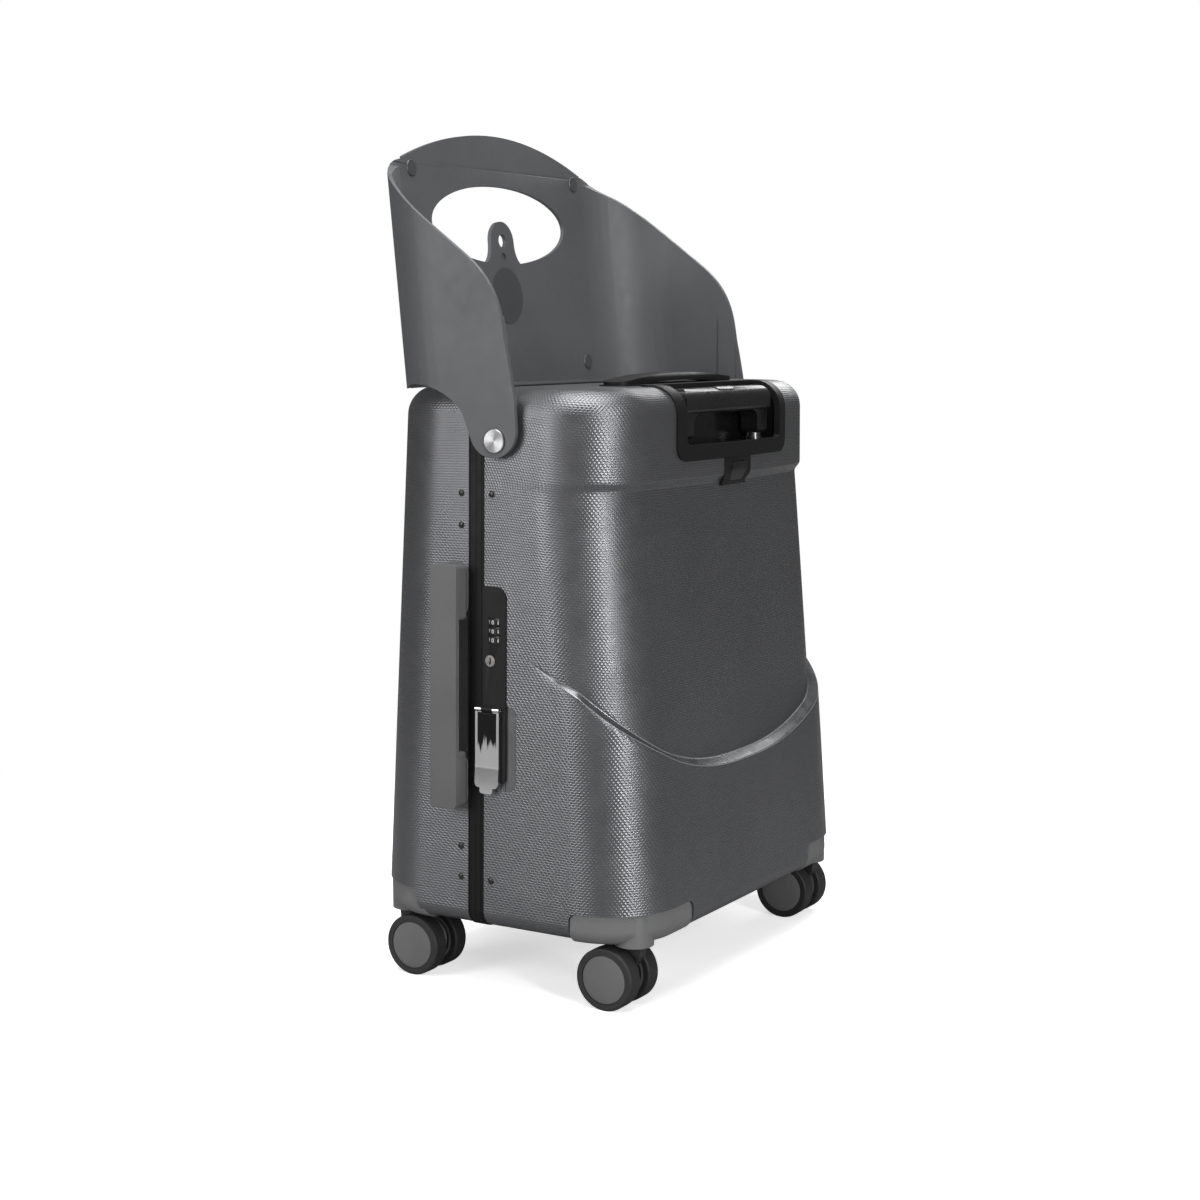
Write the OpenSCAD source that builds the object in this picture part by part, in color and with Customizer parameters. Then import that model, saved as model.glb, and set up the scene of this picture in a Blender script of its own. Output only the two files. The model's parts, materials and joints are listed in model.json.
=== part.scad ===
// Ride on suitcase: a hard shell cabin case whose child's seat stands up over its top and
// folds forward onto its front. Millimetres, +Z up. The front with the pull handle faces -Y,
// the lid is the back half (+Y), the lock and side handle are on the -X side.
// The origin is on the floor under the middle of the case, where the wheels stand.

/* [Case] */
// Height of the flat top above the floor
case_top = 480; // [460:1:520]
// Height of the underside above the floor
case_bottom = 55; // [54:1:62]
// Half the width at the top
half_w_top = 183; // [175:1:195]
// How much wider each side is at the underside
side_flare = 7; // [0:0.5:10]
// Distance from the middle to the front at the underside
front_base = 133; // [128:1:140]
// Distance from the middle to the back at the underside
back_base = 132.5; // [128:0.5:140]
// Forward lean of the lower front, per mm of height
front_draft = 0.0685; // [0.05:0.0005:0.08]
// Forward lean of the back, per mm of height
back_draft = 0.0471; // [0.02:0.0001:0.06]
// Thickness of the shells
wall = 2.5; // [2:0.1:3]
// Plan radius of the lower front corners and of the back corners
corner_r = 60; // [52:1:66]
// Radius along the top edges
top_r = 22; // [16:1:26]
// Radius along the bottom edges
bottom_r = 14; // [10:1:18]

/* [Collar and ledge] */
// How far the collar stands out in front of the recess below it
collar_step = 5; // [4:0.5:7]
// Height of the collar's lower edge
collar_z = 401; // [395:1:410]
// Height over which the collar's lower edge rolls out
collar_roll = 9; // [5:1:12]
// Forward lean of the recess, per mm of height
recess_draft = 0.034; // [0.02:0.001:0.05]
// Plan radius of the corners in the recess and the collar
recess_r = 64; // [58:1:70]
// How far the collar bulges out of a flat front
collar_crown = 8.5; // [3:0.5:12]
// Height of the ledge's lip in the middle of the front
ledge_z = 173.5; // [160:0.5:175]
// Height of the sloping step above the lip
ledge_h = 6; // [4:0.5:10]
// Rise of the lip where the front corner ends
ledge_rise = 72; // [60:1:74]

/* [Frame] */
// Distance of the seam behind the middle
seam_y = 18; // [14:0.5:22]
// Width of each half of the closing frame along Y
frame_w = 7; // [5:0.5:9]
// Depth of the frame into the case
frame_d = 11; // [8:0.5:14]
// How far the frame stands out of the shells
frame_proud = 0.8; // [0.4:0.1:1]
// Distance of the rivets from the seam
rivet_off = 14.2; // [12:0.1:18]
// Radius of a rivet's shank
rivet_r = 2; // [1.5:0.1:2.5]

/* [Seat] */
// Height of the fold pivot
pivot_z = 440; // [435:1:450]
// Distance of the fold pivot in front of the middle
pivot_y = -3.5; // [-6:0.5:0]
// Radius of the pivot pin
pivot_r = 5; // [4:0.5:6]
// Radius of the steel disc on the pivot
disc_r = 9.4; // [8:0.2:11]
// Gap between the case's side and an arm at the pivot
arm_gap = 3.74; // [3.54:0.02:8]
// Thickness of the moulded seat shell
seat_t = 3.6; // [3:0.1:4.2]
// Outer plan radius of the seat's corners
seat_r = 58; // [50:1:64]
// Backward lean of the backrest in degrees
seat_lean = 5.84; // [4:0.02:8]
// Distance of the backrest's front face from the pivot, square to the backrest
seat_reach = 102.4; // [100:0.2:106]
// Gap between the folded seat and its recess just below the collar
seat_rest = 2.6; // [2:0.1:4]
// Height of the seat's lower edge above the case
seat_gap = 2; // [1:0.5:4]
// Height of the top of the backrest above the floor
seat_top = 688; // [660:1:720]
// Drop of the backrest's top edge at one hundred mm from the middle
seat_sag = 14.2; // [8:0.2:20]
// Half the length of the oval hand hole
oval_a = 101.5; // [80:0.5:110]
// Half the height of the oval hand hole
oval_b = 33; // [26:0.5:38]
// Height of the middle of the hand hole
oval_z = 612.5; // [600:0.5:620]
// Radius of the tongue's round tip
tongue_r = 17.5; // [14:0.5:20]
// Radius of the strap hole in the tongue
strap_r = 5.75; // [4:0.25:7]
// Radius of the bare round badge
badge_r = 23.6; // [18:0.2:26]
// Radius of the four plugs
plug_r = 6.8; // [5:0.2:8]
// Distance of the plugs from the middle
plug_x = 123.5; // [100:0.5:126]

/* [Pull handle] */
// Half the length of the grip
grip_half = 73; // [66:1:76]
// Height of the grip bar
grip_h = 20; // [16:1:24]
// Distance of the tubes' axes from the ends of the grip
tube_in = 9; // [8.8:0.1:12]
// Distance of the tubes behind the collar's front
tube_back = 19; // [18.5:0.5:21]
// Outer radius of the fixed tubes
tube_r = 8.5; // [7:0.1:8.8]
// Wall of the tubes
tube_wall = 0.9; // [0.7:0.05:1]
// Radial clearance of sliding and turning fits
fit_gap = 0.05; // [0.03:0.01:0.09]
// Travel of each stage of the pull handle
stage_travel = 260; // [200:10:280]
// Half the width of the recess for the grip
recess_half = 81; // [78:0.5:84]
// Height of the recess's floor
recess_z = 434; // [428:1:440]
// Depth of the recess for the grip behind the collar's front
recess_deep = 30.5; // [30:0.5:33]
// Half the width of the black bezel
bezel_half = 94; // [90:1:98]
// Height of the bezel's lower edge
bezel_z = 422; // [418:1:424]

/* [Handles] */
// Half the length of the top handle
strap_half = 94; // [80:1:100]
// Distance of the top handle behind the collar's front
strap_back = 64.5; // [64:0.5:68]
// Width of the top handle
strap_w = 24; // [20:1:26]
// Rise of the top handle's arch above the case
strap_rise = 9.5; // [7:0.5:14]
// Length of the side handle
side_len = 192; // [160:1:200]
// Width of the side handle
side_w = 24.6; // [18:0.1:25]
// Height of the middle of the side handle
side_z = 247.5; // [240:0.5:260]
// Distance of the side handle behind the middle
side_y = 37.6; // [37.6:0.1:44]
// Distance from the case to the side handle's outer face
side_stand = 18; // [16:0.5:22]
// Travel of the two sprung carry handles
carry_travel = 8; // [5:0.5:9]

/* [Lock] */
// Height of the bottom of the lock plate
lock_z0 = 168; // [164:1:172]
// Height of the top of the lock plate
lock_z1 = 327; // [320:1:330]
// Width of the lock plate
lock_w = 21; // [18:0.5:21]
// Distance of the middle of the lock plate in front of the seam
lock_off = 17.5; // [17.5:0.5:20]
// How far the lock plate stands out of the case
lock_proud = 1.2; // [0.8:0.1:1.3]
// Radius of a number dial
dial_r = 7; // [6:0.2:7.4]
// Distance between the dials
dial_pitch = 7; // [6.6:0.1:8]
// Height of the middle dial
dial_z = 292.6; // [288:0.2:294]
// Radius of the key cylinder
key_r = 4.5; // [3.5:0.1:5]
// Height of the key cylinder
key_z = 269; // [266:0.5:271]
// Length of the latch lever
lever_len = 64; // [50:1:68]
// Width of the latch lever
lever_w = 22; // [18:0.5:23]
// Height of the latch lever's pin
lever_z = 231; // [226:0.5:234]

/* [Casters] */
// Half the distance between the casters along X
caster_x = 154.5; // [148:0.5:156]
// Half the distance between the casters along Y
caster_y = 106.5; // [100:0.5:108]
// Radius of the wheels
wheel_r = 25; // [22:0.5:25.5]
// Width of one wheel of a pair
wheel_w = 15; // [12:0.5:16]
// Gap between the two wheels of a pair
wheel_gap = 13; // [12:0.5:16]
// Trail of the axle behind the swivel
trail = 15; // [12:0.5:17]
// Radius of the hub inside the tyre
hub_r = 19.5; // [16:0.5:20]
// Radius of the axle
axle_r = 3; // [2.5:0.1:3.5]
// Radius of the swivel housing
housing_r = 15.5; // [14:0.5:17]
// Height of the lower end of the swivel housing
housing_z = 51; // [51:0.5:52]
// Radius of the swivel stem
stem_r = 5; // [4:0.5:6]
// Height of the corner guards' upper edge
guard_z = 78; // [72:1:84]

/* [Hidden] */
$fn = 64;
// The folded seat sets the front, and the front sets what is built into it
recess_f = seat_reach - pivot_y + seat_rest;
collar_f = recess_f + collar_step;
tube_y = collar_f - tube_back;
recess_back = collar_f - recess_deep;
strap_y = collar_f - strap_back;
// Bounds that lie clear of the case on every side
out_x = half_w_top + side_flare + 30;
out_y = front_base + 67;
out_z = case_top + 40;
in_x = half_w_top - 33;
seam_front = seam_y - frame_w;
seam_back = seam_y + frame_w;
// Points along the stretches of the lofted outlines
side_n = 3;
arc_n = 10;
face_n = 9;
// Steps round the fillets at the top and the bottom
fillet_n = 6;

// Plain helpers
function mix(a, b, t) = a + (b - a)*t;
function half_w(z) = half_w_top + side_flare*(case_top - z)/(case_top - case_bottom);
function low_front(z) = front_base - front_draft*(z - case_bottom);
function recess_front(z) = recess_f + recess_draft*(collar_z - z);
function back(z) = back_base - back_draft*(z - case_bottom);
function crown(z) = max(0.5, collar_crown*(z - ledge_z)/(collar_z - ledge_z));

// Half an outline in plan at one level, from the seam to the middle of the face. The corner is an
// arc and the face a slight bulge, both drawn in by i. a is the half width, f the face's distance,
// r the corner radius, c the bulge and ys the seam.
function bulge_r(a, r, c) = (a - r)*(a - r)/(2*c);
function half_outline(a, f, r, c, i, ys) =
    let (big = bulge_r(a, r, c), th = asin((a - r)/(big - r)), cy = -f + big - (big - r)*cos(th))
    concat(
        [for (k = [0:side_n - 1]) [-(a - i), mix(ys, cy, k/side_n)]],
        [for (k = [0:arc_n]) let (p = (90 - th)*k/arc_n)
            [-(a - r) - (r - i)*cos(p), cy - (r - i)*sin(p)]],
        [for (k = [1:face_n]) let (p = th*(1 - k/face_n))
            [-(big - i)*sin(p), -f + big - (big - i)*cos(p)]]);
// The whole outline, mirrored about the middle
function whole_outline(h) = concat(h, [for (k = [len(h) - 2:-1:0]) [-h[k][0], h[k][1]]]);
half_n = side_n + arc_n + 1 + face_n;
ring_n = 2*half_n - 1;
// Distance along the outline from the middle of the face, for point j
nominal = whole_outline(half_outline(half_w_top + 3, recess_f + 10, corner_r, 1, 0, seam_front));
function path_step(j) = norm(nominal[j + 1] - nominal[j]);
function path_sum(j) = j >= half_n - 1 ? 0 : path_step(j) + path_sum(j + 1);
half_path = [for (j = [0:half_n - 1]) path_sum(j)];
path = [for (j = [0:ring_n - 1]) half_path[j < half_n ? j : ring_n - 1 - j]];
// The ledge's lip climbs towards the sides, and more evenly once it is round the corner
turn_s = 205;
side_slope = 0.6;
function lip(s) = ledge_z + (s < turn_s ? ledge_rise*pow(s/turn_s, 2.5)
    : ledge_rise + side_slope*(s - turn_s));

// One level of the front's outer skin, [kind, t]: "b" round the bottom fillet, "l" the lower
// front, "s" the step, "r" the recess, "c" the collar's roll and "t" the top fillet.
front_levels = concat([for (k = [0:fillet_n]) ["b", k/fillet_n]], [["l", 0.5], ["l", 1], ["s", 1]],
    [["r", 0.35], ["r", 0.7], ["c", 0], ["c", 0.25], ["c", 0.6], ["c", 0.85], ["c", 1]],
    [for (k = [0:fillet_n]) ["t", k/fillet_n]]);
back_levels = concat([for (k = [0:fillet_n]) ["b", k/fillet_n]], [["l", 0.5]],
    [for (k = [0:fillet_n]) ["t", k/fillet_n]]);
function ease(t) = t*t*(3 - 2*t);
// Height of a level above the floor, at distance s along the outline, in a skin w deep
function level_z(v, s, w) =
    v[0] == "b" ? case_bottom + bottom_r - (bottom_r - w)*cos(90*v[1])
    : v[0] == "l" ? mix(case_bottom + bottom_r, lip(s), v[1])
    : v[0] == "s" ? lip(s) + ledge_h
    : v[0] == "r" ? mix(lip(s) + ledge_h, collar_z, v[1])
    : v[0] == "c" ? collar_z + collar_roll*v[1]
    : case_top - top_r + (top_r - w)*sin(90*v[1]);
function level_inset(v, w) =
    v[0] == "b" ? bottom_r - (bottom_r - w)*sin(90*v[1])
    : v[0] == "t" ? top_r - (top_r - w)*cos(90*v[1]) : w;
// Face distance, corner radius and bulge at a level
function level_face(v, z) =
    (v[0] == "b" || v[0] == "l") ? [low_front(z), corner_r, 0.5]
    : (v[0] == "s" || v[0] == "r") ? [recess_front(z), recess_r, crown(z)]
    : let (t = v[0] == "t" ? 1 : ease(v[1]))
        [mix(recess_front(collar_z), collar_f, t), recess_r, collar_crown];
function front_ring(v, w) = [for (j = [0:ring_n - 1])
    let (z = level_z(v, path[j], w), f = level_face(v, z),
        o = whole_outline(half_outline(half_w(z), f[0], f[1], f[2], level_inset(v, w), seam_front)))
    [o[j][0], o[j][1], z]];
function back_z(v, w) = v[0] == "l" ? mix(case_bottom, case_top, v[1]) : level_z(v, 0, w);
function back_ring(v, w) =
    let (z = back_z(v, w),
        o = whole_outline(half_outline(half_w(z), back(z), corner_r, 0.5, level_inset(v, w), -seam_back)))
    [for (j = [0:ring_n - 1]) [o[j][0], -o[j][1], z]];

// Faces of a half shell whose outer rings come first and whose inner rings follow, m of each.
// Both skins are open at the seam, where a rim joins them.
function turned(f, flip) = flip ? [f[2], f[1], f[0]] : f;
function skin(m, o, flip) = [for (k = [0:m - 2], j = [0:ring_n - 2])
    let (a = o + k*ring_n + j, b = a + ring_n)
    each [turned([a, b, b + 1], flip), turned([a, b + 1, a + 1], flip)]];
function cap(o, flip) = [for (j = [0:half_n - 2]) let (a = o + j, b = o + ring_n - 1 - j)
    each concat([turned([a, b, b - 1], flip)], j < half_n - 2 ? [turned([a, b - 1, a + 1], flip)] : [])];
function quad(a, b, c, d, flip) = [turned([a, b, c], flip), turned([a, c, d], flip)];
function rim(m, flip) = let (i = m*ring_n, e = ring_n - 1, t = (m - 1)*ring_n) concat(
    [for (k = [0:m - 2]) let (a = k*ring_n, b = a + ring_n)
        each concat(quad(i + a, i + b, b, a, flip), quad(a + e, b + e, i + b + e, i + a + e, flip))],
    quad(i + t + e, t + e, t, i + t, flip), quad(e, i + e, i, 0, flip));
function half_faces(m, flip) = let (i = m*ring_n, t = (m - 1)*ring_n) concat(
    skin(m, 0, flip), skin(m, i, !flip), cap(t, flip), cap(0, !flip), cap(i + t, !flip), cap(i, flip),
    rim(m, flip));

// A polygon's outline with a corner's radius for each point, as arcs. Points run anticlockwise.
function unit(v) = v/norm(v);
function corner_arc(a, b, c, r) =
    let (u = unit(a - b), w = unit(c - b), h = acos(u*w)/2, d = r/tan(h), q = b + unit(u + w)*r/sin(h),
        p = b + u*d - q, s = (u[0]*w[1] - u[1]*w[0]) > 0 ? -1 : 1, sw = s*(180 - 2*h),
        n = max(3, ceil(abs(sw)/9)))
    r == 0 ? [b] : [for (k = [0:n]) let (t = sw*k/n)
        q + [p[0]*cos(t) - p[1]*sin(t), p[0]*sin(t) + p[1]*cos(t)]];
function rounded(pts, r) = let (n = len(pts)) [for (i = [0:n - 1])
    each corner_arc(pts[(i + n - 1) % n], pts[i], pts[(i + 1) % n], is_list(r) ? r[i] : r)];
function box_pts(x0, y0, x1, y1) = [[x0, y0], [x1, y0], [x1, y1], [x0, y1]];
function bezier(a, b, c, d, n) = [for (k = [0:n]) let (t = k/n)
    a*pow(1 - t, 3) + b*3*t*pow(1 - t, 2) + c*3*t*t*(1 - t) + d*pow(t, 3)];
// A prism of an outline in X and Z, from y0 to y1
module along_y(y0, y1) translate([0, y1, 0]) rotate([90, 0, 0]) linear_extrude(y1 - y0) children();
// A prism of an outline in Y and Z, from x0 to x1
module along_x(x0, x1) translate([x0, 0, 0]) rotate([90, 0, 90]) linear_extrude(x1 - x0) children();
module rod_x(r, x0, x1) translate([x0, 0, 0]) rotate([0, 90, 0]) cylinder(r = r, h = x1 - x0);
module both() {
    children();
    mirror([1, 0, 0]) children();
}
module block(a, b) translate(a) cube(b - a);

// The lock side of the case leans by its flare. Parts on it are drawn flat with the outside
// towards -X and the origin on the case's face at height z.
side_tilt = atan(side_flare/(case_top - case_bottom));
module on_side(z) translate([-half_w(z), 0, z]) rotate([0, side_tilt, 0]) children();

rivet_z = [398.5, 373.7, 118.6, 93.8];
lock_y = seam_y - lock_off;
// Reach of the corner guards along the side and along the face
guard_y = 68;
guard_x = 104;
gap = 0.3;

module guard_pockets(sy) for (x = [-1, 1]) in_corner(x, sy) guard_reach(sy, 0, guard_z);

module rivet_holes(side) both() for (z = side > 0 ? rivet_z : [rivet_z[0], rivet_z[3]])
    translate([0, seam_y + side*rivet_off, z]) rod_x(rivet_r + fit_gap, half_w_top - 12, half_w_top + 12);

lock_body = 8.8;
module lock_body_shape(g) on_side(lock_z0) translate([0, lock_y, 0])
    block([-1 - g, -lock_body - g, 5 - g], [14 + g, lock_body + g, lock_z1 - lock_z0 - 5 + g]);

cradle_half = 62;
cradle_w = strap_w/2 + 6;
tray_half = strap_half - 1;
tray_w = strap_w/2 - 1;
// Outline of the top handle's tray, o larger all round
module tray_plan(o) {
    polygon(rounded(box_pts(-tray_half - o, -tray_w - o, tray_half + o, tray_w + o), 4 + o));
    polygon(rounded(box_pts(-cradle_half - 2 - o, -cradle_w - 2 - o, cradle_half + 2 + o, cradle_w + 2 + o),
        8 + o));
}
tab_half = 22.5;
tab_z = 399.5;

module front_shell() color([0.27, 0.28, 0.29]) difference() {
    m = len(front_levels);
    polyhedron(points = [for (w = [0, wall], v = front_levels) each front_ring(v, w)],
        faces = half_faces(m, false));
    guard_pockets(-1);
    block([-recess_half - 2.3, -out_y, bezel_z + 3], [recess_half + 2.3, -recess_back + 2.3, out_z]);
    block([-tab_half - 0.2, -out_y, tab_z - 0.2], [tab_half + 0.2, -collar_f + 23, bezel_z + 4]);
    translate([0, -strap_y, case_top - 20]) linear_extrude(30) tray_plan(0.2);
    translate([0, pivot_y, pivot_z]) rod_x(pivot_r + fit_gap, -out_x, out_x);
    rivet_holes(-1);
    lock_body_shape(0.2);
    // Pressed dip for a finger in front of the latch lever
    at_lock(lock_z0) along_x(-2, dip_deep)
        polygon(rounded(box_pts(-lock_w/2 - dip_w, -2, -lock_w/2 + 1, dip_h), [9, 0, 0, 9]));
}

module back_shell() color([0.27, 0.28, 0.29]) difference() {
    m = len(back_levels);
    polyhedron(points = [for (w = [0, wall], v = back_levels) each back_ring(v, w)],
        faces = half_faces(m, true));
    guard_pockets(1);
    rivet_holes(1);
    on_side(side_z) for (s = [-1, 1]) translate([0, side_y, s*base_mid])
        block([-5, -base_in_w - 0.2, -base_in_h - 0.2], [12, base_in_w + 0.2, base_in_h + 0.2]);
}

// Outline of the seam, o outside the shells
function seam_outline(o) = let (a = half_w_top + o, b = half_w_top + side_flare + o)
    rounded([[-b, case_bottom - o], [b, case_bottom - o], [a, case_top + o], [-a, case_top + o]],
        [bottom_r + o, bottom_r + o, top_r + o, top_r + o]);
module seam_ring(o1, o2) difference() {
    polygon(seam_outline(o1));
    polygon(seam_outline(o2));
}
seal_w = 3;
module frame_half(side) {
    y0 = side < 0 ? seam_front : seam_y + 0.1;
    y1 = side < 0 ? seam_y - 0.1 : seam_back;
    difference() {
        along_y(y0, y1) seam_ring(frame_proud, frame_proud - frame_d);
        along_y(seam_y - seal_w/2 - 0.1, seam_y + seal_w/2 + 0.1) seam_ring(-3.9, -7.1);
        // A groove round the outside of each profile
        along_y(seam_y + side*(frame_w - 1.6) - 0.5, seam_y + side*(frame_w - 1.6) + 0.5)
            seam_ring(frame_proud + 1, frame_proud - 0.5);
    }
    both() for (z = side > 0 ? rivet_z : [rivet_z[0], rivet_z[3]]) difference() {
        block([half_w(z) - wall - 2.6, side > 0 ? seam_back - 1 : seam_front - 12, z - 8],
            [half_w(z) - wall - 0.4, side > 0 ? seam_back + 12 : seam_front + 1, z + 8]);
        translate([0, seam_y + side*rivet_off, z]) rod_x(rivet_r + fit_gap, in_x, out_x);
    }
}
module front_frame() color([0.05, 0.05, 0.06]) frame_half(-1);
module lid_frame() color([0.05, 0.05, 0.06]) frame_half(1);
module frame_seal() color([0.1, 0.1, 0.1]) along_y(seam_y - seal_w/2, seam_y + seal_w/2) seam_ring(-4, -7);

module rivet(z, side) translate([half_w(z), seam_y + side*rivet_off, z]) {
    rod_x(rivet_r, -wall - 3.4, 0.3);
    rotate([0, 90, 0]) rotate_extrude() intersection() {
        translate([0, -1.6]) circle(r = 2.6);
        translate([0, 0.12]) square([4, 3]);
    }
}
module frame_rivets() color([0.12, 0.12, 0.13]) both() {
    for (z = rivet_z) rivet(z, 1);
    for (z = [rivet_z[0], rivet_z[3]]) rivet(z, -1);
}

// Inner hinges of the lid on the +X side, drawn with the inside of the case towards +X
hinge_zs = [150, 330];
hinge_r = 4;
hinge_pin_r = 2;
leaf_reach = 8;
hinge_in = frame_d - frame_proud + leaf_reach + 0.15;
module at_hinge(z) mirror([1, 0, 0]) on_side(z) translate([hinge_in, seam_y, 0]) children();
module hinge_leaves() color([0.6, 0.6, 0.6]) for (z = hinge_zs) at_hinge(z) {
    difference() {
        union() {
            for (k = [-1, 1]) translate([0, 0, k*14 - 6]) cylinder(r = hinge_r, h = 12);
            for (k = [-1, 1]) block([-leaf_reach, -frame_w, k*14 - 6], [1, -3, k*14 + 6]);
            block([-leaf_reach, -frame_w, -20], [-leaf_reach + 2, -1, 20]);
        }
        translate([0, 0, -30]) cylinder(r = hinge_pin_r + fit_gap, h = 60);
        translate([0, 0, -7.7]) cylinder(r = hinge_r + 0.6, h = 15.4);
    }
    difference() {
        union() {
            translate([0, 0, -7.5]) cylinder(r = hinge_r, h = 15);
            block([-leaf_reach + 2, 1, -7.5], [1, 3, 7.5]);
            block([-leaf_reach, 1, -20], [-leaf_reach + 2, frame_w, 20]);
        }
        translate([0, 0, -30]) cylinder(r = hinge_pin_r + fit_gap, h = 60);
    }
}
module hinge_pins() color([0.7, 0.7, 0.7]) for (z = hinge_zs) at_hinge(z)
    translate([0, 0, -21]) cylinder(r = hinge_pin_r, h = 42);

// Combination lock and latch, on the -X side
lock_len = lock_z1 - lock_z0;
dip_w = 9.5;
dip_h = 66;
dip_deep = 0.9;
lock_deep = 14;
dial_h = dial_pitch - 0.9;
dial_out = 1.8;
dial_x = dial_r - lock_proud - dial_out;
dial_axle_r = 1.5;
key_off = 3.4;
lever_off = 4.3;
lever_t = 3.2;
pin_r = 1.5;
knuckle_r = 2.2;
pin_x = -lock_proud - knuckle_r - 0.1;
module at_lock(z) on_side(z) translate([0, lock_y, 0]) children();
module at_lever() at_lock(lever_z) translate([pin_x, lever_off, 0]) children();
module rod_y(r, y0, y1) translate([0, y1, 0]) rotate([90, 0, 0]) cylinder(r = r, h = y1 - y0);
module dial_places() for (k = [-1:1]) at_lock(dial_z) translate([dial_x, 0, k*dial_pitch]) children();

module lock_plate() color([0.05, 0.05, 0.05]) difference() {
    union() {
        at_lock(lock_z0) along_x(-lock_proud, 0)
            polygon(rounded([[-lock_w/2, 6], [lock_w/2, 0], [lock_w/2, lock_len], [-lock_w/2, lock_len]],
                [3, 1, 1, 9]));
        at_lock(lock_z0) block([0, -lock_body, 5], [lock_deep - 0.2, lock_body, lock_len - 5]);
        at_lever() {
            rod_y(knuckle_r, -5, 5);
            block([0, -5, -knuckle_r], [-pin_x - lock_proud + 0.1, 5, knuckle_r]);
        }
    }
    dial_places() translate([0, 0, -dial_h/2 - 0.2]) cylinder(r = dial_r + 0.35, h = dial_h + 0.4);
    at_lock(dial_z) translate([dial_x, 0, -dial_pitch*1.5 - 3])
        cylinder(r = dial_axle_r + 0.02, h = dial_pitch*3 + 6);
    at_lock(key_z) translate([0, key_off, 0]) rod_x(key_r + fit_gap, -5, 12.3);
    at_lever() rod_y(pin_r + 0.02, -12, 12);
}
module dial(k) color([0.16, 0.16, 0.17]) at_lock(dial_z) translate([dial_x, 0, k*dial_pitch]) difference() {
    rotate_extrude() polygon([[dial_axle_r + fit_gap, -dial_h/2], [dial_r - 0.5, -dial_h/2],
        [dial_r, -dial_h/2 + 0.7], [dial_r, dial_h/2 - 0.7], [dial_r - 0.5, dial_h/2],
        [dial_axle_r + fit_gap, dial_h/2]]);
    // Grip grooves between the ten numbers
    for (a = [0:9]) rotate([0, 0, 36*a + 18]) translate([dial_r + 0.5, 0, -5]) cylinder(r = 0.9, h = 10);
}
module dial_1() dial(1);
module dial_2() dial(0);
module dial_3() dial(-1);
module dial_axle() color([0.6, 0.6, 0.6]) at_lock(dial_z) translate([dial_x, 0, -dial_pitch*1.5 - 2])
    cylinder(r = dial_axle_r, h = dial_pitch*3 + 4);
module key_cylinder() color([0.75, 0.75, 0.76]) at_lock(key_z) translate([0, key_off, 0]) difference() {
    rod_x(key_r, -lock_proud - 0.8, 12);
    block([-8, -0.6, -2.8], [1.5, 0.6, 2.8]);
    // Rounded rim of the keyway
    rotate([0, 90, 0]) translate([0, 0, -lock_proud - 1.2]) cylinder(r = 1.5, h = 0.8);
}
lever_in = knuckle_r - 0.3;
module latch_lever() color([0.8, 0.8, 0.82]) at_lever() difference() {
    union() {
        intersection() {
            along_x(-8, 8) union() {
                polygon(rounded(box_pts(-lever_w/2, -lever_len + knuckle_r, lever_w/2, -knuckle_r - 0.6),
                    [4, 4, 1.5, 1.5]));
                // Finger tab at the free end
                polygon(rounded(box_pts(-lever_w/2 + 5, -lever_len + knuckle_r - 4.6, lever_w/2 - 5,
                    -lever_len + 8), 2.5));
            }
            along_y(-20, 20) polygon(rounded([[lever_in - lever_t - 1.6, -lever_len - 5],
                [lever_in, -lever_len - 5], [lever_in, 0], [lever_in - lever_t, 0],
                [lever_in - lever_t, -lever_len*0.7]], [2.2, 0.4, 0, 0.8, 30]));
        }
        for (s = [-1, 1]) translate([0, s*(lever_w/4 + 2.65), 0]) {
            rod_y(knuckle_r, -lever_w/4 + 2.65, lever_w/4 - 2.65);
            block([lever_in - lever_t, -lever_w/4 + 2.65, -5], [lever_in, lever_w/4 - 2.65, 0]);
        }
    }
    rod_y(pin_r + fit_gap, -30, 30);
    // Shallow dish for the thumb
    translate([-lever_t + lever_in - 24.4, 0, -lever_len*0.45]) sphere(r = 25);
}
module latch_pin() color([0.6, 0.6, 0.6]) at_lever() rod_y(pin_r, -lever_w/2 + 0.3, lever_w/2 - 0.3);

// Side handle and the two bases it springs out of
base_mid = side_len/2 - 20;
base_in_w = 9;
base_in_h = 16;
base_lip = 1.6;
post_w = 7;
post_h = 13;
part_x = side_stand - 5.4;
module side_handle() color([0.42, 0.42, 0.43]) on_side(side_z) translate([0, side_y, 0]) {
    a = side_len/2;
    x0 = -side_stand;
    x1 = -base_lip - gap;
    bar = side_stand - 7;
    difference() {
        intersection() {
            along_y(-side_w/2, side_w/2) polygon(rounded([[x0, -a], [x1, -a], [x1, -a + 38], [-bar, -a + 45],
                [-bar, a - 45], [x1, a - 38], [x1, a], [x0, a]], [12, 1, 2, 9, 9, 2, 1, 12]));
            along_x(-40, 10) polygon(rounded(box_pts(-side_w/2, -a, side_w/2, a), 9));
            translate([0, 0, -a - 1]) linear_extrude(2*a + 2)
                polygon(rounded(box_pts(x0, -side_w/2, 5, side_w/2), [4, 0, 0, 4]));
        }
        // Parting line along both edges, where the two moulded halves meet
        for (s = [-1, 1]) block([-part_x - 0.3, s*side_w/2 - 0.4, -a - 1],
            [-part_x + 0.3, s*side_w/2 + 0.4, a + 1]);
    }
    for (s = [-1, 1]) block([x1 - 1, -post_w, s*base_mid - post_h], [10, post_w, s*base_mid + post_h]);
}
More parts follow.
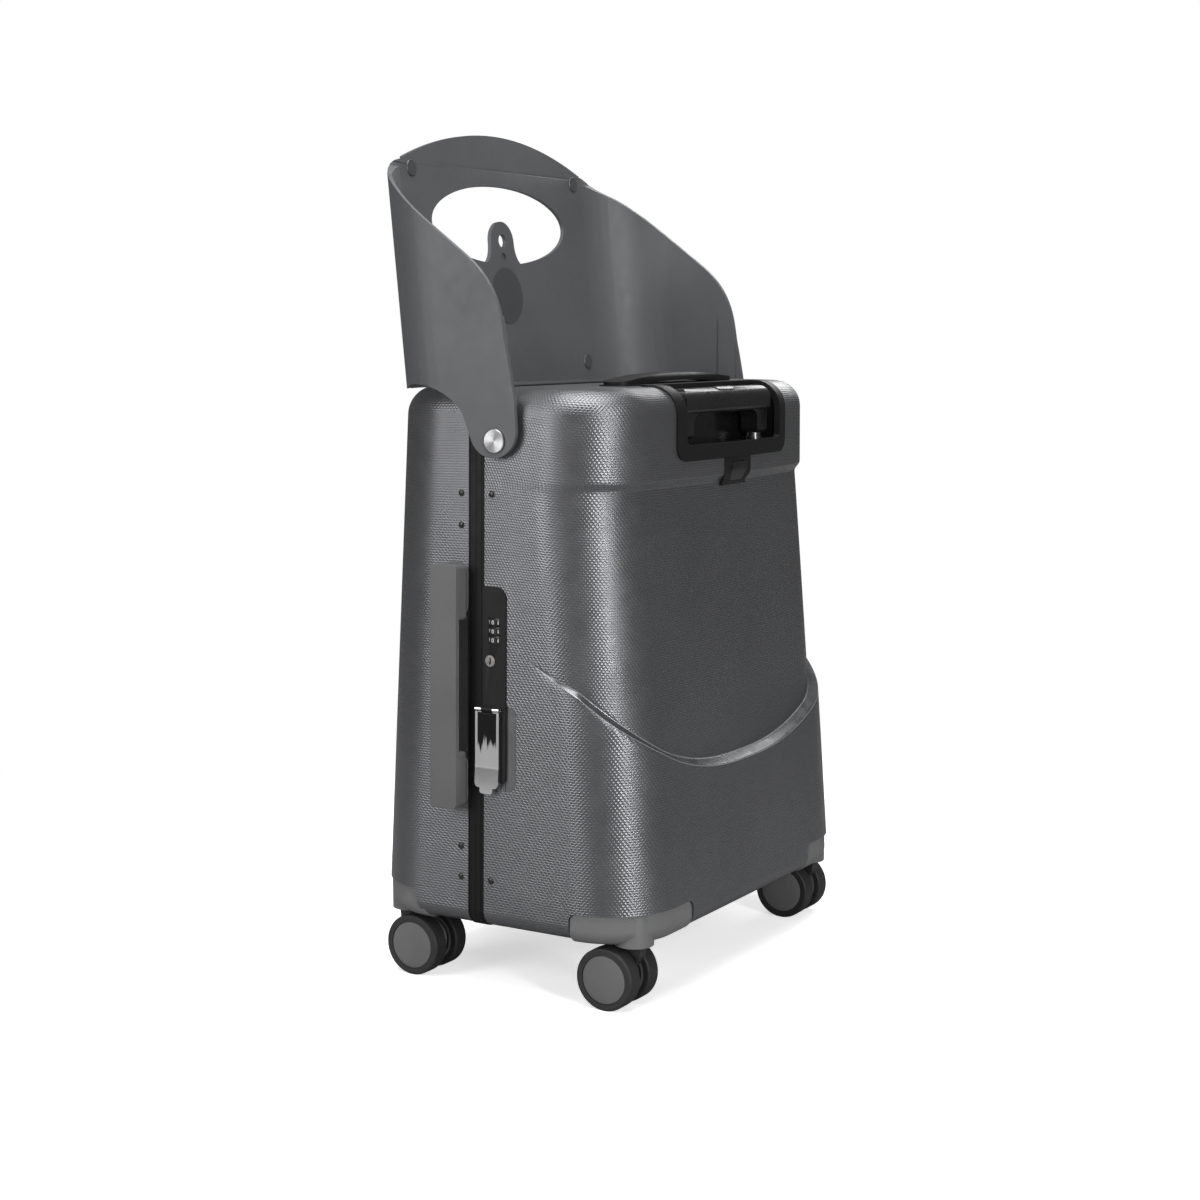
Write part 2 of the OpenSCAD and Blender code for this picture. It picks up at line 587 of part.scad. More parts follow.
module side_handle_bases() color([0.12, 0.12, 0.12]) on_side(side_z) translate([0, side_y, 0])
    for (s = [-1, 1]) translate([0, 0, s*base_mid]) difference() {
        union() {
            along_x(-base_lip, 0) polygon(rounded(box_pts(-side_w/2 - 0.1, -21, side_w/2 + 0.1, 21), 9));
            block([0, -base_in_w, -base_in_h], [11.5, base_in_w, base_in_h]);
        }
        block([-5, -post_w - gap, -post_h - gap], [15, post_w + gap, post_h + gap]);
    }

// Studs that the case stands on when it is laid on its other side
foot_z = 110;
foot_r = 8;
foot_h = 9.8;
module side_feet() color([0.08, 0.08, 0.08]) for (y = [-58, 62]) mirror([1, 0, 0]) on_side(foot_z)
    translate([0, y, 0]) rotate([0, -90, 0]) rotate_extrude()
    polygon([[0, 0], [foot_r, 0], [foot_r, 2], [foot_r - 2, foot_h - 1], [foot_r - 3, foot_h], [0, foot_h]]);

// Top handle, its tray and the sockets it springs out of
socket_x = strap_half - 15;
socket_w = 9;
tray_lip = 1;
tray_deep = 18;
module strap_at() translate([0, -strap_y, case_top]) children();
module top_handle() color([0.07, 0.07, 0.08]) strap_at() {
    n = 24;
    intersection() {
        along_y(-strap_w/2, strap_w/2) polygon(concat(
            [for (k = [-n:n]) let (x = k/n) [strap_half*x, tray_lip + gap + 2*max(0, 1 - 2.4*x*x)]],
            [for (k = [n:-1:-n]) let (x = k/n) [strap_half*x, 3.2 + (strap_rise - 3.2)*(1 - x*x)]]));
        linear_extrude(20)
            polygon(rounded(box_pts(-strap_half, -strap_w/2, strap_half, strap_w/2), strap_w/2 - 0.5));
        along_x(-strap_half, strap_half)
            polygon(rounded(box_pts(-strap_w/2, -2, strap_w/2, strap_rise), [0, 0, 5, 5]));
    }
    for (s = [-1, 1]) block([s*socket_x - socket_w, -socket_w, -16], [s*socket_x + socket_w, socket_w, 2]);
}
module top_handle_tray() color([0.04, 0.04, 0.04]) strap_at() difference() {
    union() {
        linear_extrude(tray_lip) tray_plan(2);
        translate([0, 0, -tray_deep - 2]) linear_extrude(tray_deep + 2) tray_plan(0);
    }
    translate([0, 0, -tray_deep]) linear_extrude(40)
        polygon(rounded(box_pts(-cradle_half, -cradle_w, cradle_half, cradle_w), 7));
    for (s = [-1, 1]) block([s*socket_x - socket_w - gap, -socket_w - gap, -tray_deep],
        [s*socket_x + socket_w + gap, socket_w + gap, 5]);
}

// Pull handle. The bezel follows the front's bulge, an arc about a vertical axis.
front_arc = bulge_r(half_w(bezel_z + 30), recess_r, collar_crown);
tube_x = grip_half - tube_in;
bezel_proud = 1.5;
bezel_rim = recess_back - strap_y - cradle_w - 4.4;
face_angle = asin((bezel_half + 23)/front_arc);
module face_body(d) translate([0, front_arc - collar_f, 0]) rotate([0, 0, 270 - face_angle])
    rotate_extrude(angle = 2*face_angle, $fn = 540) {
    translate([front_arc - 60, case_bottom]) square([60 - top_r, case_top - case_bottom + d]);
    translate([front_arc - 60, case_bottom]) square([60 + d, case_top - top_r - case_bottom]);
    translate([front_arc - top_r, case_top - top_r]) circle(r = top_r + d, $fn = 64);
}
// The seat's lower edge swings past the tab inside this radius
sweep_r = norm([seat_reach*cos(seat_lean) + (case_top + seat_gap - pivot_z)*tan(seat_lean)
    + seat_reach*sin(seat_lean)*tan(seat_lean), case_top + seat_gap - pivot_z]);
module inside_sweep() translate([0, pivot_y, pivot_z]) rod_x(sweep_r - 0.8, -60, 60, $fn = 240);
tab_outline = rounded([[-tab_half, bezel_z + 3], [-tab_half, tab_z], [tab_half - 8, tab_z],
    [tab_half, tab_z + 9], [tab_half, bezel_z + 3]], [0, 3, 4, 4, 0]);
function button_outline(o) = rounded([[-11 - o, tab_z + 3 - o], [10 + o, tab_z + 3 - o],
    [19 + o, bezel_z - 4 + o], [-11 - o, bezel_z - 4 + o]], 3 + o);
module trolley_bezel() color([0.05, 0.05, 0.06]) difference() {
    union() {
        difference() {
            intersection() {
                face_body(bezel_proud);
                along_y(-out_y, 0)
                    polygon(rounded(box_pts(-bezel_half, bezel_z, bezel_half, out_z), [12, 12, 0, 0]));
                linear_extrude(out_z) polygon(rounded(box_pts(-bezel_half, -out_y, bezel_half,
                    -recess_back + bezel_rim), [0, 0, 12, 12]));
            }
            face_body(0.12);
        }
        difference() {
            intersection() {
                face_body(0.2);
                block([-recess_half - 2.1, -out_y, bezel_z + 3.2],
                    [recess_half + 2.1, -recess_back + 2.1, out_z]);
            }
            face_body(-4);
        }
        intersection() {
            face_body(0.4);
            inside_sweep();
            along_y(-out_y, -collar_f + 13.5) polygon(tab_outline);
        }
    }
    along_y(-out_y, -recess_back)
        polygon(rounded(box_pts(-recess_half, recess_z, recess_half, out_z), [3, 3, 0, 0]));
    along_y(-out_y, -collar_f + 11.3) polygon(button_outline(gap));
}
module trolley_cup() color([0.03, 0.03, 0.03]) difference() {
    intersection() {
        face_body(-4.1);
        block([-recess_half - 4, -out_y, recess_z - 2.5],
            [recess_half + 4, -recess_back + 2.1, out_z]);
    }
    block([-recess_half - 1.5, -out_y, recess_z], [recess_half + 1.5, -recess_back, out_z]);
    for (s = [-1, 1]) translate([s*tube_x, -tube_y, recess_z - 10]) cylinder(r = tube_r + 0.05, h = 20);
}
tube_z0 = case_bottom + wall + 6;
module tube_pair(r, z0, z1, hollow) for (s = [-1, 1]) translate([s*tube_x, -tube_y, 0]) difference() {
    translate([0, 0, z0]) cylinder(r = r, h = z1 - z0);
    if (hollow) translate([0, 0, z0 - 1]) cylinder(r = r - tube_wall, h = z1 - z0 + 2);
}
middle_r = tube_r - tube_wall - fit_gap;
inner_r = middle_r - tube_wall - fit_gap;
module outer_tubes() color([0.6, 0.61, 0.62]) tube_pair(tube_r, tube_z0, recess_z, true);
module middle_tubes() color([0.7, 0.71, 0.72]) tube_pair(middle_r, tube_z0 + 6, recess_z + 1, true);
module inner_tubes() color([0.75, 0.76, 0.77]) tube_pair(inner_r, tube_z0 + 12, grip_z0 + 6, false);
module tube_foot() color([0.1, 0.1, 0.1]) difference() {
    translate([0, -tube_y, case_bottom + wall]) linear_extrude(24)
        polygon(rounded(box_pts(-tube_x - 13, -12, tube_x + 13, 12), 6));
    for (s = [-1, 1]) translate([s*tube_x, -tube_y, tube_z0]) cylinder(r = tube_r + 0.05, h = 60);
    translate([0, -tube_y, case_bottom + wall + 8]) linear_extrude(40)
        polygon(rounded(box_pts(-tube_x + 14, -9, tube_x - 14, 9), 3));
}
grip_z0 = recess_z + 4;
grip_z1 = case_top - 2;
grip_front = collar_f - 7.5;
grip_back = recess_back + 4.3;
function grip_side(o) = rounded([[-grip_front - o, grip_z1 - grip_h - o],
    [-grip_back + o, grip_z1 - grip_h - o], [-grip_back + o, grip_z1 + o],
    [-grip_front - o, grip_z1 + o]], [4 + o, 4 + o, 5 + o, 9 + o]);
module grip_solid(o) {
    l = tube_in + inner_r + 2;
    leg_top = grip_z1 - grip_h;
    intersection() {
        along_x(-grip_half, grip_half) polygon(grip_side(o));
        along_y(-out_y, 0) polygon(rounded(box_pts(-grip_half, 300, grip_half, grip_z1 + o), [0, 0, 9, 9]));
    }
    // The two legs on the tubes, which run into the bar with a fillet
    intersection() {
        along_y(-tube_y - 8.4, -grip_back + 0.2) polygon(rounded([[-grip_half, grip_z0],
            [-grip_half + l, grip_z0], [-grip_half + l, leg_top], [grip_half - l, leg_top],
            [grip_half - l, grip_z0], [grip_half, grip_z0], [grip_half, grip_z1 - 6],
            [-grip_half, grip_z1 - 6]], [5, 5, 9, 9, 5, 5, 0, 0]));
        along_x(-grip_half, grip_half)
            polygon(rounded(box_pts(-tube_y - 8.4, grip_z0, -grip_back, grip_z1 - 4), [4, 4, 0, 0]));
    }
}
push_y = collar_f - 14.5;
module push_stadium(o) translate([0, -push_y, 0]) linear_extrude(out_z)
    polygon(rounded(box_pts(-14.5 - o, -4 - o, 14.5 + o, 4 + o), 3.9 + o));
module trolley_grip() color([0.06, 0.06, 0.07]) difference() {
    grip_solid(0);
    tube_pair(inner_r + 0.02, 300, grip_z0 + 6, false);
    intersection() {
        push_stadium(gap);
        block([-30, -out_y, grip_z1 - 9.5], [30, 0, out_z]);
    }
}
module grip_button() color([0.1, 0.1, 0.11]) intersection() {
    push_stadium(0);
    along_x(-20, 20) polygon(grip_side(0.6));
    block([-30, -out_y, grip_z1 - 6.6], [30, 0, out_z]);
}
module seat_release() color([0.08, 0.08, 0.09]) intersection() {
    along_y(-out_y, -collar_f + 8.9) polygon(button_outline(0));
    translate([0, front_arc - collar_f, 0]) cylinder(r = front_arc + 0.9, h = case_top, $fn = 2000);
    inside_sweep();
}

// Seat: a moulded band round the back and the sides, trimmed by its outlines from the front
// and from the side, with a hand hole and a tongue in it. Drawn upright about the pivot.
arm_in = half_w(pivot_z) + arm_gap;
arm_out = arm_in + seat_t;
function on_rest(z) = (z - pivot_z + seat_reach*sin(seat_lean))/cos(seat_lean);
module at_pivot() translate([0, pivot_y, pivot_z]) children();
module leaned() at_pivot() rotate([-seat_lean, 0, 0]) children();
rest_z = on_rest(seat_top);
sag = seat_sag/10000;
// Outline of an arm from the side, in Y and Z about the pivot
arm_end = [2.2, 8];
arm_end_r = 21.3;
under = case_top + seat_gap - pivot_z;
// The outline is drawn for a backrest of this reach and rise and stretched to the real ones, the
// rise above the bend only
drawn_reach = 102.4;
drawn_rise = 248;
arm_bend = 73;
function arm_z(z) = arm_bend + (z - arm_bend)*(seat_top - pivot_z - arm_bend)/(drawn_rise - arm_bend);
function arm_y(y) = y > 0 ? y*seat_reach/drawn_reach : y;
function stretched(pts) = [for (q = pts) [arm_y(q[0]), arm_z(q[1])]];
arm_side = concat(
    [for (a = [333:-9:180]) arm_end + arm_end_r*[cos(a), sin(a)]],
    bezier([-17.6, 32], [-15.5, 43], [-13, 58], [-9.5, arm_bend], 8),
    stretched(concat(
        bezier([-7.6, 85], [-3.5, 112], [8, 128.5], [29.9, 144], 12),
        bezier([54.5, 162], [75, 176.5], [92, 190.5], [108.5, 202], 8),
        bezier([111, 203.6], [117.5, 207.5], [124.5, 212], [129, 221], 10),
        [[130.5, 262], [160, 262]])),
    [[arm_y(160), under], [80, under]],
    bezier([70, under], [52, under - 2], [34, under - 12], [28.4, under - 25], 12));
tongue_z = oval_z - 14;
module tongue() {
    translate([0, on_rest(tongue_z)]) circle(r = tongue_r);
    polygon(concat(bezier([-tongue_r, on_rest(tongue_z)], [-tongue_r, on_rest(tongue_z) - 8],
            [-tongue_r - 3, on_rest(oval_z - oval_b) + 1],
            [-tongue_r - 14, on_rest(oval_z - oval_b) - 1], 10),
        bezier([tongue_r + 14, on_rest(oval_z - oval_b) - 1], [tongue_r + 3, on_rest(oval_z - oval_b) + 1],
            [tongue_r, on_rest(tongue_z) - 8], [tongue_r, on_rest(tongue_z)], 10)));
}
module seat_band() linear_extrude(rest_z + 60) polygon(concat(
    rounded([[arm_out, -60], [arm_out, seat_reach + seat_t], [-arm_out, seat_reach + seat_t],
        [-arm_out, -60]], [0, seat_r, seat_r, 0]),
    rounded([[-arm_in, -60], [-arm_in, seat_reach], [arm_in, seat_reach], [arm_in, -60]],
        [0, seat_r - seat_t, seat_r - seat_t, 0])));
plug_zs = [seat_top - 34, case_top + 15];
module on_plugs() for (x = [-1, 1], z = plug_zs) translate([x*plug_x, seat_reach, on_rest(z)])
    rotate([-90, 0, 0]) children();
badge_z = oval_z - oval_b - 26.5;
hole_z = tongue_z + 1;
dimple_z = tongue_z - 13;
pad_t = 1.6;
module seat_shell() color([0.33, 0.34, 0.35]) difference() {
    union() {
        intersection() {
            leaned() translate([0, 0, -40]) seat_band();
            at_pivot() along_x(-out_x, out_x) polygon(arm_side);
            leaned() along_y(-80, seat_reach + 40) polygon(concat([[-out_x, -60], [out_x, -60]],
                [for (k = [21:-1:-21]) [out_x*k/21, rest_z - sag*pow(out_x*k/21, 2)]]));
        }
        // Pads inside the arms
        intersection() {
            both() at_pivot() along_x(arm_in - pad_t, arm_in + 0.5)
                polygon(rounded(box_pts(-9.5, 22, 7.5, 94.6), 5));
            at_pivot() along_x(-out_x, out_x) polygon(arm_side);
        }
    }
    leaned() difference() {
        along_y(seat_reach - 40, seat_reach + 40)
            polygon([for (k = [0:71]) [oval_a*cos(5*k), on_rest(oval_z) + oval_b*sin(5*k)]]);
        along_y(seat_reach - 50, seat_reach + 50) tongue();
    }
    leaned() translate([0, 0, on_rest(hole_z)]) rod_y(strap_r, seat_reach - 40, seat_reach + 40);
    leaned() translate([0, 0, on_rest(dimple_z)]) rod_y(3.75, seat_reach - 40, seat_reach + 1.6);
    leaned() translate([0, 0, on_rest(badge_z)]) rod_y(badge_r + 0.1, seat_reach - 40, seat_reach + 1);
    leaned() on_plugs() translate([0, 0, -10]) cylinder(r = plug_r + 0.1, h = 12);
    at_pivot() rod_x(pivot_r + fit_gap, -out_x, out_x);
}
module seat_badge() color([0.2, 0.2, 0.21]) leaned() translate([0, 0, on_rest(badge_z)])
    rod_y(badge_r, seat_reach - 0.5, seat_reach + 1);
module seat_plugs() color([0.2, 0.2, 0.21]) leaned() on_plugs() rotate_extrude()
    polygon([[0, -0.9], [plug_r - 0.7, -0.9], [plug_r, -0.2], [plug_r, 2], [0, 2]]);

// Pivots of the seat
disc_t = 1.5;
side_at_pivot = half_w(pivot_z);
module pivot_pins() color([0.7, 0.7, 0.7]) both() at_pivot()
    rod_x(pivot_r, side_at_pivot - wall - 5, arm_out + gap);
module pivot_discs() color([0.72, 0.72, 0.73]) both() at_pivot() translate([arm_out + gap, 0, 0])
    rotate([0, 90, 0]) rotate_extrude()
    polygon([[0, 0], [disc_r, 0], [disc_r, disc_t - 0.6], [disc_r - 0.7, disc_t], [0, disc_t]]);
module pivot_washers() color([0.1, 0.1, 0.1]) both() at_pivot() difference() {
    rod_x(disc_r + 3, side_at_pivot + gap, arm_in - gap);
    rod_x(pivot_r + fit_gap, in_x, out_x);
}
module pivot_plates() color([0.6, 0.6, 0.6]) both() at_pivot() difference() {
    along_x(side_at_pivot - wall - 4.3, side_at_pivot - wall - gap)
        polygon(rounded(box_pts(-13.5, -18, 13.5, 18), 4));
    rod_x(pivot_r + 0.02, in_x, out_x);
}

// Casters and the guards that carry them. Drawn for +X and +Y and mirrored into each corner.
guard_in = 1.2;
guard_wall = 4;
guard_z0 = case_bottom - 2;
module in_corner(sx, sy) mirror([sx < 0 ? 1 : 0, 0, 0]) mirror([0, sy < 0 ? 1 : 0, 0]) children();
function guard_profile(w, top) = rounded([[0, guard_z0 + w], [corner_r - w, guard_z0 + w],
    [corner_r - w - 0.6, top], [0, top]], [0, 12 - w, 0, 0]);
// Room of a guard, with its upper corners rounded on the side and on the face
module guard_reach(sy, i, top) {
    lower = sy > 0 ? guard_y - 5 : guard_y;
    upper = sy > 0 ? guard_y + 7 : guard_y;
    low = guard_z0 - 10;
    intersection() {
        along_x(guard_x + i, out_x) polygon(rounded([[lower + i, low], [out_y, low], [out_y, top],
            [upper + i, top]], [0, 0, 0, 6]));
        along_y(0, out_y) polygon(rounded([[guard_x + i, low], [out_x, low], [out_x, top],
            [guard_x + i, top]], [0, 0, 0, 6]));
    }
}
module guard_mass(cy, w, top) {
    cx = half_w(guard_z) - guard_in - corner_r;
    translate([cx, cy, 0]) {
        rotate_extrude() polygon(guard_profile(w, top));
        along_x(-80, 0) polygon(guard_profile(w, top));
        along_y(-80, 0) polygon(guard_profile(w, top));
        block([-80, -80, guard_z0 + w], [0, 0, top]);
    }
}
module guard(sx, sy) color([0.4, 0.4, 0.41]) in_corner(sx, sy) {
    cy = (sy > 0 ? back(guard_z) : low_front(guard_z)) - guard_in - corner_r;
    top = guard_z - gap;
    difference() {
        union() {
            difference() {
                intersection() {
                    guard_mass(cy, 0, top);
                    guard_reach(sy, gap, top);
                }
                intersection() {
                    guard_mass(cy, guard_wall, top + 20);
                    guard_reach(sy, gap + guard_wall, top + 20);
                }
            }
            translate([caster_x, caster_y, housing_z]) cylinder(r = housing_r, h = top - housing_z - 1);
        }
        translate([caster_x, caster_y, 0]) cylinder(r = stem_r + fit_gap, h = housing_z + 21);
    }
}
module guard_fl() guard(-1, -1);
module guard_fr() guard(1, -1);
module guard_rl() guard(-1, 1);
module guard_rr() guard(1, 1);

module at_caster(sx, sy) in_corner(sx, sy) translate([caster_x, caster_y, 0]) children();
module at_axle(sx, sy) at_caster(sx, sy) translate([0, -trail, wheel_r]) children();
boss_r = 9;
blade = wheel_gap/2 - 1.5;
module fork(sx, sy) color([0.1, 0.1, 0.1]) difference() {
    at_caster(sx, sy) {
        translate([0, 0, housing_z - 2]) cylinder(r = stem_r, h = 22);
        top = housing_z - gap;
        along_x(-blade, blade) polygon(rounded([[8.5, top], [-trail + 2, top], [-trail - boss_r, wheel_r + 5],
            [-trail - boss_r, wheel_r - 6], [-trail + 5, wheel_r - boss_r + 1], [7.5, top - 9]],
            [1, 4, 5, 5, 5, 6]));
    }
    at_axle(sx, sy) rod_x(axle_r + 0.02, -50, 50);
}
axle_end = wheel_gap/2 + wheel_w - 3;
module axle(sx, sy) color([0.6, 0.6, 0.6]) at_axle(sx, sy) rod_x(axle_r, -axle_end, axle_end);
module hubs(sx, sy) color([0.45, 0.45, 0.46]) at_axle(sx, sy) both() translate([wheel_gap/2, 0, 0])
    rotate([0, 90, 0]) rotate_extrude() polygon(concat([[axle_r + fit_gap, 0.4], [hub_r - 6, 0.4],
        [hub_r - 5, 2],
        [hub_r - 3, 2], [hub_r - 2, 0], [hub_r, 0], [hub_r, wheel_w - 1.2]],
        bezier([hub_r - 0.8, wheel_w - 0.2], [hub_r - 4, wheel_w + 0.5], [8, wheel_w + 0.9],
            [0, wheel_w + 0.9], 8),
        [[0, wheel_w - 2.6], [axle_r + fit_gap, wheel_w - 2.6]]));
module tyres(sx, sy) color([0.04, 0.04, 0.04]) at_axle(sx, sy) both() translate([wheel_gap/2, 0, 0])
    rotate([0, 90, 0]) rotate_extrude() polygon(rounded(box_pts(hub_r, 0, wheel_r, wheel_w), [0, 2, 2, 0]));
module fork_fl() fork(-1, -1);
module axle_fl() axle(-1, -1);
module hubs_fl() hubs(-1, -1);
module tyres_fl() tyres(-1, -1);
module fork_fr() fork(1, -1);
module axle_fr() axle(1, -1);
module hubs_fr() hubs(1, -1);
module tyres_fr() tyres(1, -1);
module fork_rl() fork(-1, 1);
module axle_rl() axle(-1, 1);
module hubs_rl() hubs(-1, 1);
module tyres_rl() tyres(-1, 1);
module fork_rr() fork(1, 1);
module axle_rr() axle(1, 1);
module hubs_rr() hubs(1, 1);
module tyres_rr() tyres(1, 1);

front_shell();
back_shell();
front_frame();
lid_frame();
frame_seal();
frame_rivets();
hinge_leaves();
hinge_pins();
lock_plate();
latch_lever();
latch_pin();
dial_1();
dial_2();
dial_3();
dial_axle();
key_cylinder();
side_handle();
side_handle_bases();
side_feet();
top_handle();
top_handle_tray();
trolley_bezel();
trolley_cup();
outer_tubes();
tube_foot();
middle_tubes();
inner_tubes();
trolley_grip();
grip_button();
seat_release();
seat_shell();
seat_badge();
seat_plugs();
pivot_pins();
pivot_discs();
pivot_washers();
pivot_plates();
guard_fl();
guard_fr();
guard_rl();
guard_rr();
fork_fl();
axle_fl();
hubs_fl();
tyres_fl();
fork_fr();
axle_fr();
hubs_fr();
tyres_fr();
fork_rl();
axle_rl();
hubs_rl();
tyres_rl();
fork_rr();
axle_rr();
hubs_rr();
tyres_rr();
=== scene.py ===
"""The looks of a ride on suitcase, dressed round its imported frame.

Lengths are metres in the frame's own axes: +Z up, the front with the pull handle towards -Y, the
lock and the side handle on the -X side. The origin is on the floor under the case.
"""

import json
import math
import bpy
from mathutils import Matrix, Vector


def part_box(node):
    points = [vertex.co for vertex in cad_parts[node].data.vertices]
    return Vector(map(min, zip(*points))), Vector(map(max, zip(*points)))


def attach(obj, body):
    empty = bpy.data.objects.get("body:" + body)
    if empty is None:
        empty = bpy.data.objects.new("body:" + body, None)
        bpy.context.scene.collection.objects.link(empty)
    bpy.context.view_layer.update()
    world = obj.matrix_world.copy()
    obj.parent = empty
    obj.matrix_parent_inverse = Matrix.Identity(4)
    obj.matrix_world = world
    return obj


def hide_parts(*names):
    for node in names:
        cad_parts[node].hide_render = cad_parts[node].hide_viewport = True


bl_info = {
    "name": "Ride on suitcase",
    "version": (1, 0, 0),
    "blender": (4, 5, 0),
    "location": "View3D > Sidebar > Suitcase",
    "description": "Builds the shells, the seat, the handles and the casters of a ride on suitcase",
    "category": "Object",
}

import bmesh
import bpy
from bpy.props import FloatProperty, FloatVectorProperty, PointerProperty
from bpy.types import Operator, Panel, PropertyGroup
from mathutils import Matrix, Vector

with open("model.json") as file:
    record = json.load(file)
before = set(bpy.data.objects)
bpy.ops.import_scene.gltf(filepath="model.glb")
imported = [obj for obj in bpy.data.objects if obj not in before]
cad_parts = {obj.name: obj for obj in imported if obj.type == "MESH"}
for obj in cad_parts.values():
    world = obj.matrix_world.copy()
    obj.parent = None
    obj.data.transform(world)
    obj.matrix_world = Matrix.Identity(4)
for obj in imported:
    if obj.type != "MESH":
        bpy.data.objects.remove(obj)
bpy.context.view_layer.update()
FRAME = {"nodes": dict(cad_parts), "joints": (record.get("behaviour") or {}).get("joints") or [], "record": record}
NODES = FRAME["nodes"]
RECORD = FRAME["record"]
BODY_OF = {node: body for body, nodes in RECORD["behaviour"]["bodies"].items() for node in nodes}
SLOT_OF = {row["node"]: row["material_slot"] for row in RECORD["subparts"]}
MM = 0.001
SMOOTH_ANGLE = math.radians(32)
SHELL_ANGLE = math.radians(55)
CRISP_ANGLE = math.radians(28)
# Radii of rounded edges, in metres, from the crispest to the softest
FINE_EDGE, THIN_EDGE, PLAIN_EDGE, SOFT_EDGE = 0.0004, 0.0005, 0.0006, 0.0008
WELD = 0.000002


# Sizes of the case that the shells are lofted from, in millimetres as the case is drawn


class CaseSizes(PropertyGroup):
    """Sizes and colours of the two shells"""

    top: FloatProperty(name="Top", description="Height of the flat top", default=480)
    bottom: FloatProperty(name="Underside", description="Height of the underside", default=55)
    half_top: FloatProperty(name="Half width", description="Half the width at the top", default=183)
    flare: FloatProperty(name="Flare", description="Extra half width at the underside", default=7)
    front_base: FloatProperty(name="Front", description="Middle to front at the underside", default=133)
    back_base: FloatProperty(name="Back", description="Middle to back at the underside", default=132.5)
    front_draft: FloatProperty(name="Front lean", description="Lean of the lower front", default=0.0685)
    back_draft: FloatProperty(name="Back lean", description="Lean of the back", default=0.0471)
    wall: FloatProperty(name="Wall", description="Thickness of the shells", default=2.5)
    corner: FloatProperty(name="Corner", description="Plan radius of the corners", default=60)
    top_edge: FloatProperty(name="Top edge", description="Radius along the top edges", default=22)
    bottom_edge: FloatProperty(name="Bottom edge", description="Radius along the bottom edges", default=14)
    collar_front: FloatProperty(name="Collar", description="Middle to the collar's front", default=113.5)
    collar_z: FloatProperty(name="Collar height", description="Height of the collar's edge", default=401)
    collar_roll: FloatProperty(name="Collar roll", description="Height of its rounded edge", default=9)
    recess_front: FloatProperty(name="Recess", description="Middle to the recess below the collar",
                                default=108.5)
    recess_draft: FloatProperty(name="Recess lean", description="Lean of the recess", default=0.034)
    recess_corner: FloatProperty(name="Recess corner", description="Plan radius in the recess", default=64)
    crown: FloatProperty(name="Crown", description="Bulge of the collar's front", default=8.5)
    ledge: FloatProperty(name="Ledge", description="Height of the ledge's lip in the middle", default=173.5)
    ledge_h: FloatProperty(name="Ledge band", description="Height of the band above the lip", default=6)
    ledge_rise: FloatProperty(name="Ledge rise", description="Rise of the lip to the corner", default=72)
    seam: FloatProperty(name="Seam", description="Distance of the seam behind the middle", default=18)
    seam_half: FloatProperty(name="Seam half", description="Width of each frame half", default=7)
    grain: FloatProperty(name="Grain pitch", description="Distance between the grain's lines", default=2.0)
    colour: FloatVectorProperty(name="Colour", description="Colour of the shells", subtype="COLOR",
                                default=(0.15, 0.152, 0.159))


class SeatSizes(PropertyGroup):
    """Edge and colour of the seat"""

    edge: FloatProperty(name="Edge", description="Radius of the moulded edges", default=0.0011,
                        unit="LENGTH", subtype="DISTANCE")
    colour: FloatVectorProperty(name="Colour", description="Colour of the seat", subtype="COLOR",
                                default=(0.088, 0.09, 0.094))


class StageSizes(PropertyGroup):
    """The camera's lens, heading, tilt and place"""

    lens: FloatProperty(name="Lens", description="Focal length on a 36 mm sensor", default=63.85)
    azimuth: FloatProperty(name="Azimuth", description="Heading of the camera", default=math.radians(-58.9),
                           subtype="ANGLE")
    pitch: FloatProperty(name="Pitch", description="Downward tilt of the camera", default=math.radians(7.4),
                         subtype="ANGLE")
    place: FloatVectorProperty(name="Place", description="Position of the camera", subtype="XYZ",
                               default=(-1.5435, -0.91335, 0.5291))


# Meshes


def link(data, name):
    """A new object for a mesh, a camera or a lamp, at the origin."""
    piece = bpy.data.objects.new(name, data)
    bpy.context.scene.collection.objects.link(piece)
    return piece


def mesh_of(name, verts, faces, uvs=None):
    """A mesh from points in metres. uvs holds one pair for each point of each face."""
    mesh = bpy.data.meshes.new(name)
    mesh.from_pydata(verts, [], faces)
    if uvs:
        layer = mesh.uv_layers.new(name="surface")
        for loop, uv in zip(layer.data, uvs):
            loop.uv = uv
    mesh.validate()
    return mesh


def applied(piece):
    """Turns what the modifiers show into the piece's own mesh."""
    bpy.context.view_layer.update()
    graph = bpy.context.evaluated_depsgraph_get()
    mesh = bpy.data.meshes.new_from_object(piece.evaluated_get(graph), preserve_all_data_layers=True,
                                           depsgraph=graph)
    piece.modifiers.clear()
    piece.data = mesh
    return piece


def modify(piece, kind, **values):
    """Adds a modifier with the given properties."""
    step = piece.modifiers.new(kind.lower(), kind)
    for key, value in values.items():
        setattr(step, key, value)
    return step


def smooth(piece, angle=SMOOTH_ANGLE):
    piece.data.shade_smooth()
    piece.data.set_sharp_from_angle(angle=angle)


def cut(piece, cutters, operation="DIFFERENCE"):
    """Takes closed cutter objects out of a piece, or joins them to it, and deletes them."""
    for cutter in cutters:
        modify(piece, "BOOLEAN", operation=operation, solver="EXACT", object=cutter)
    applied(piece)
    for cutter in cutters:
        bpy.data.objects.remove(cutter, do_unlink=True)


def dress(piece, node, key=None):
    """Gives a piece a finish when one is named, puts it on its body and hides the node that it stands for."""
    if key:
        piece.data.materials.clear()
        piece.data.materials.append(material(key))
    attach(piece, BODY_OF[node])
    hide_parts(node)


def finish_nodes(*nodes, key=None):
    """Puts finishes on nodes that keep their own shapes, those of their slots unless one is named."""
    for node in nodes:
        for place in NODES[node].material_slots:
            place.material = material(key or SLOT_OF[node])


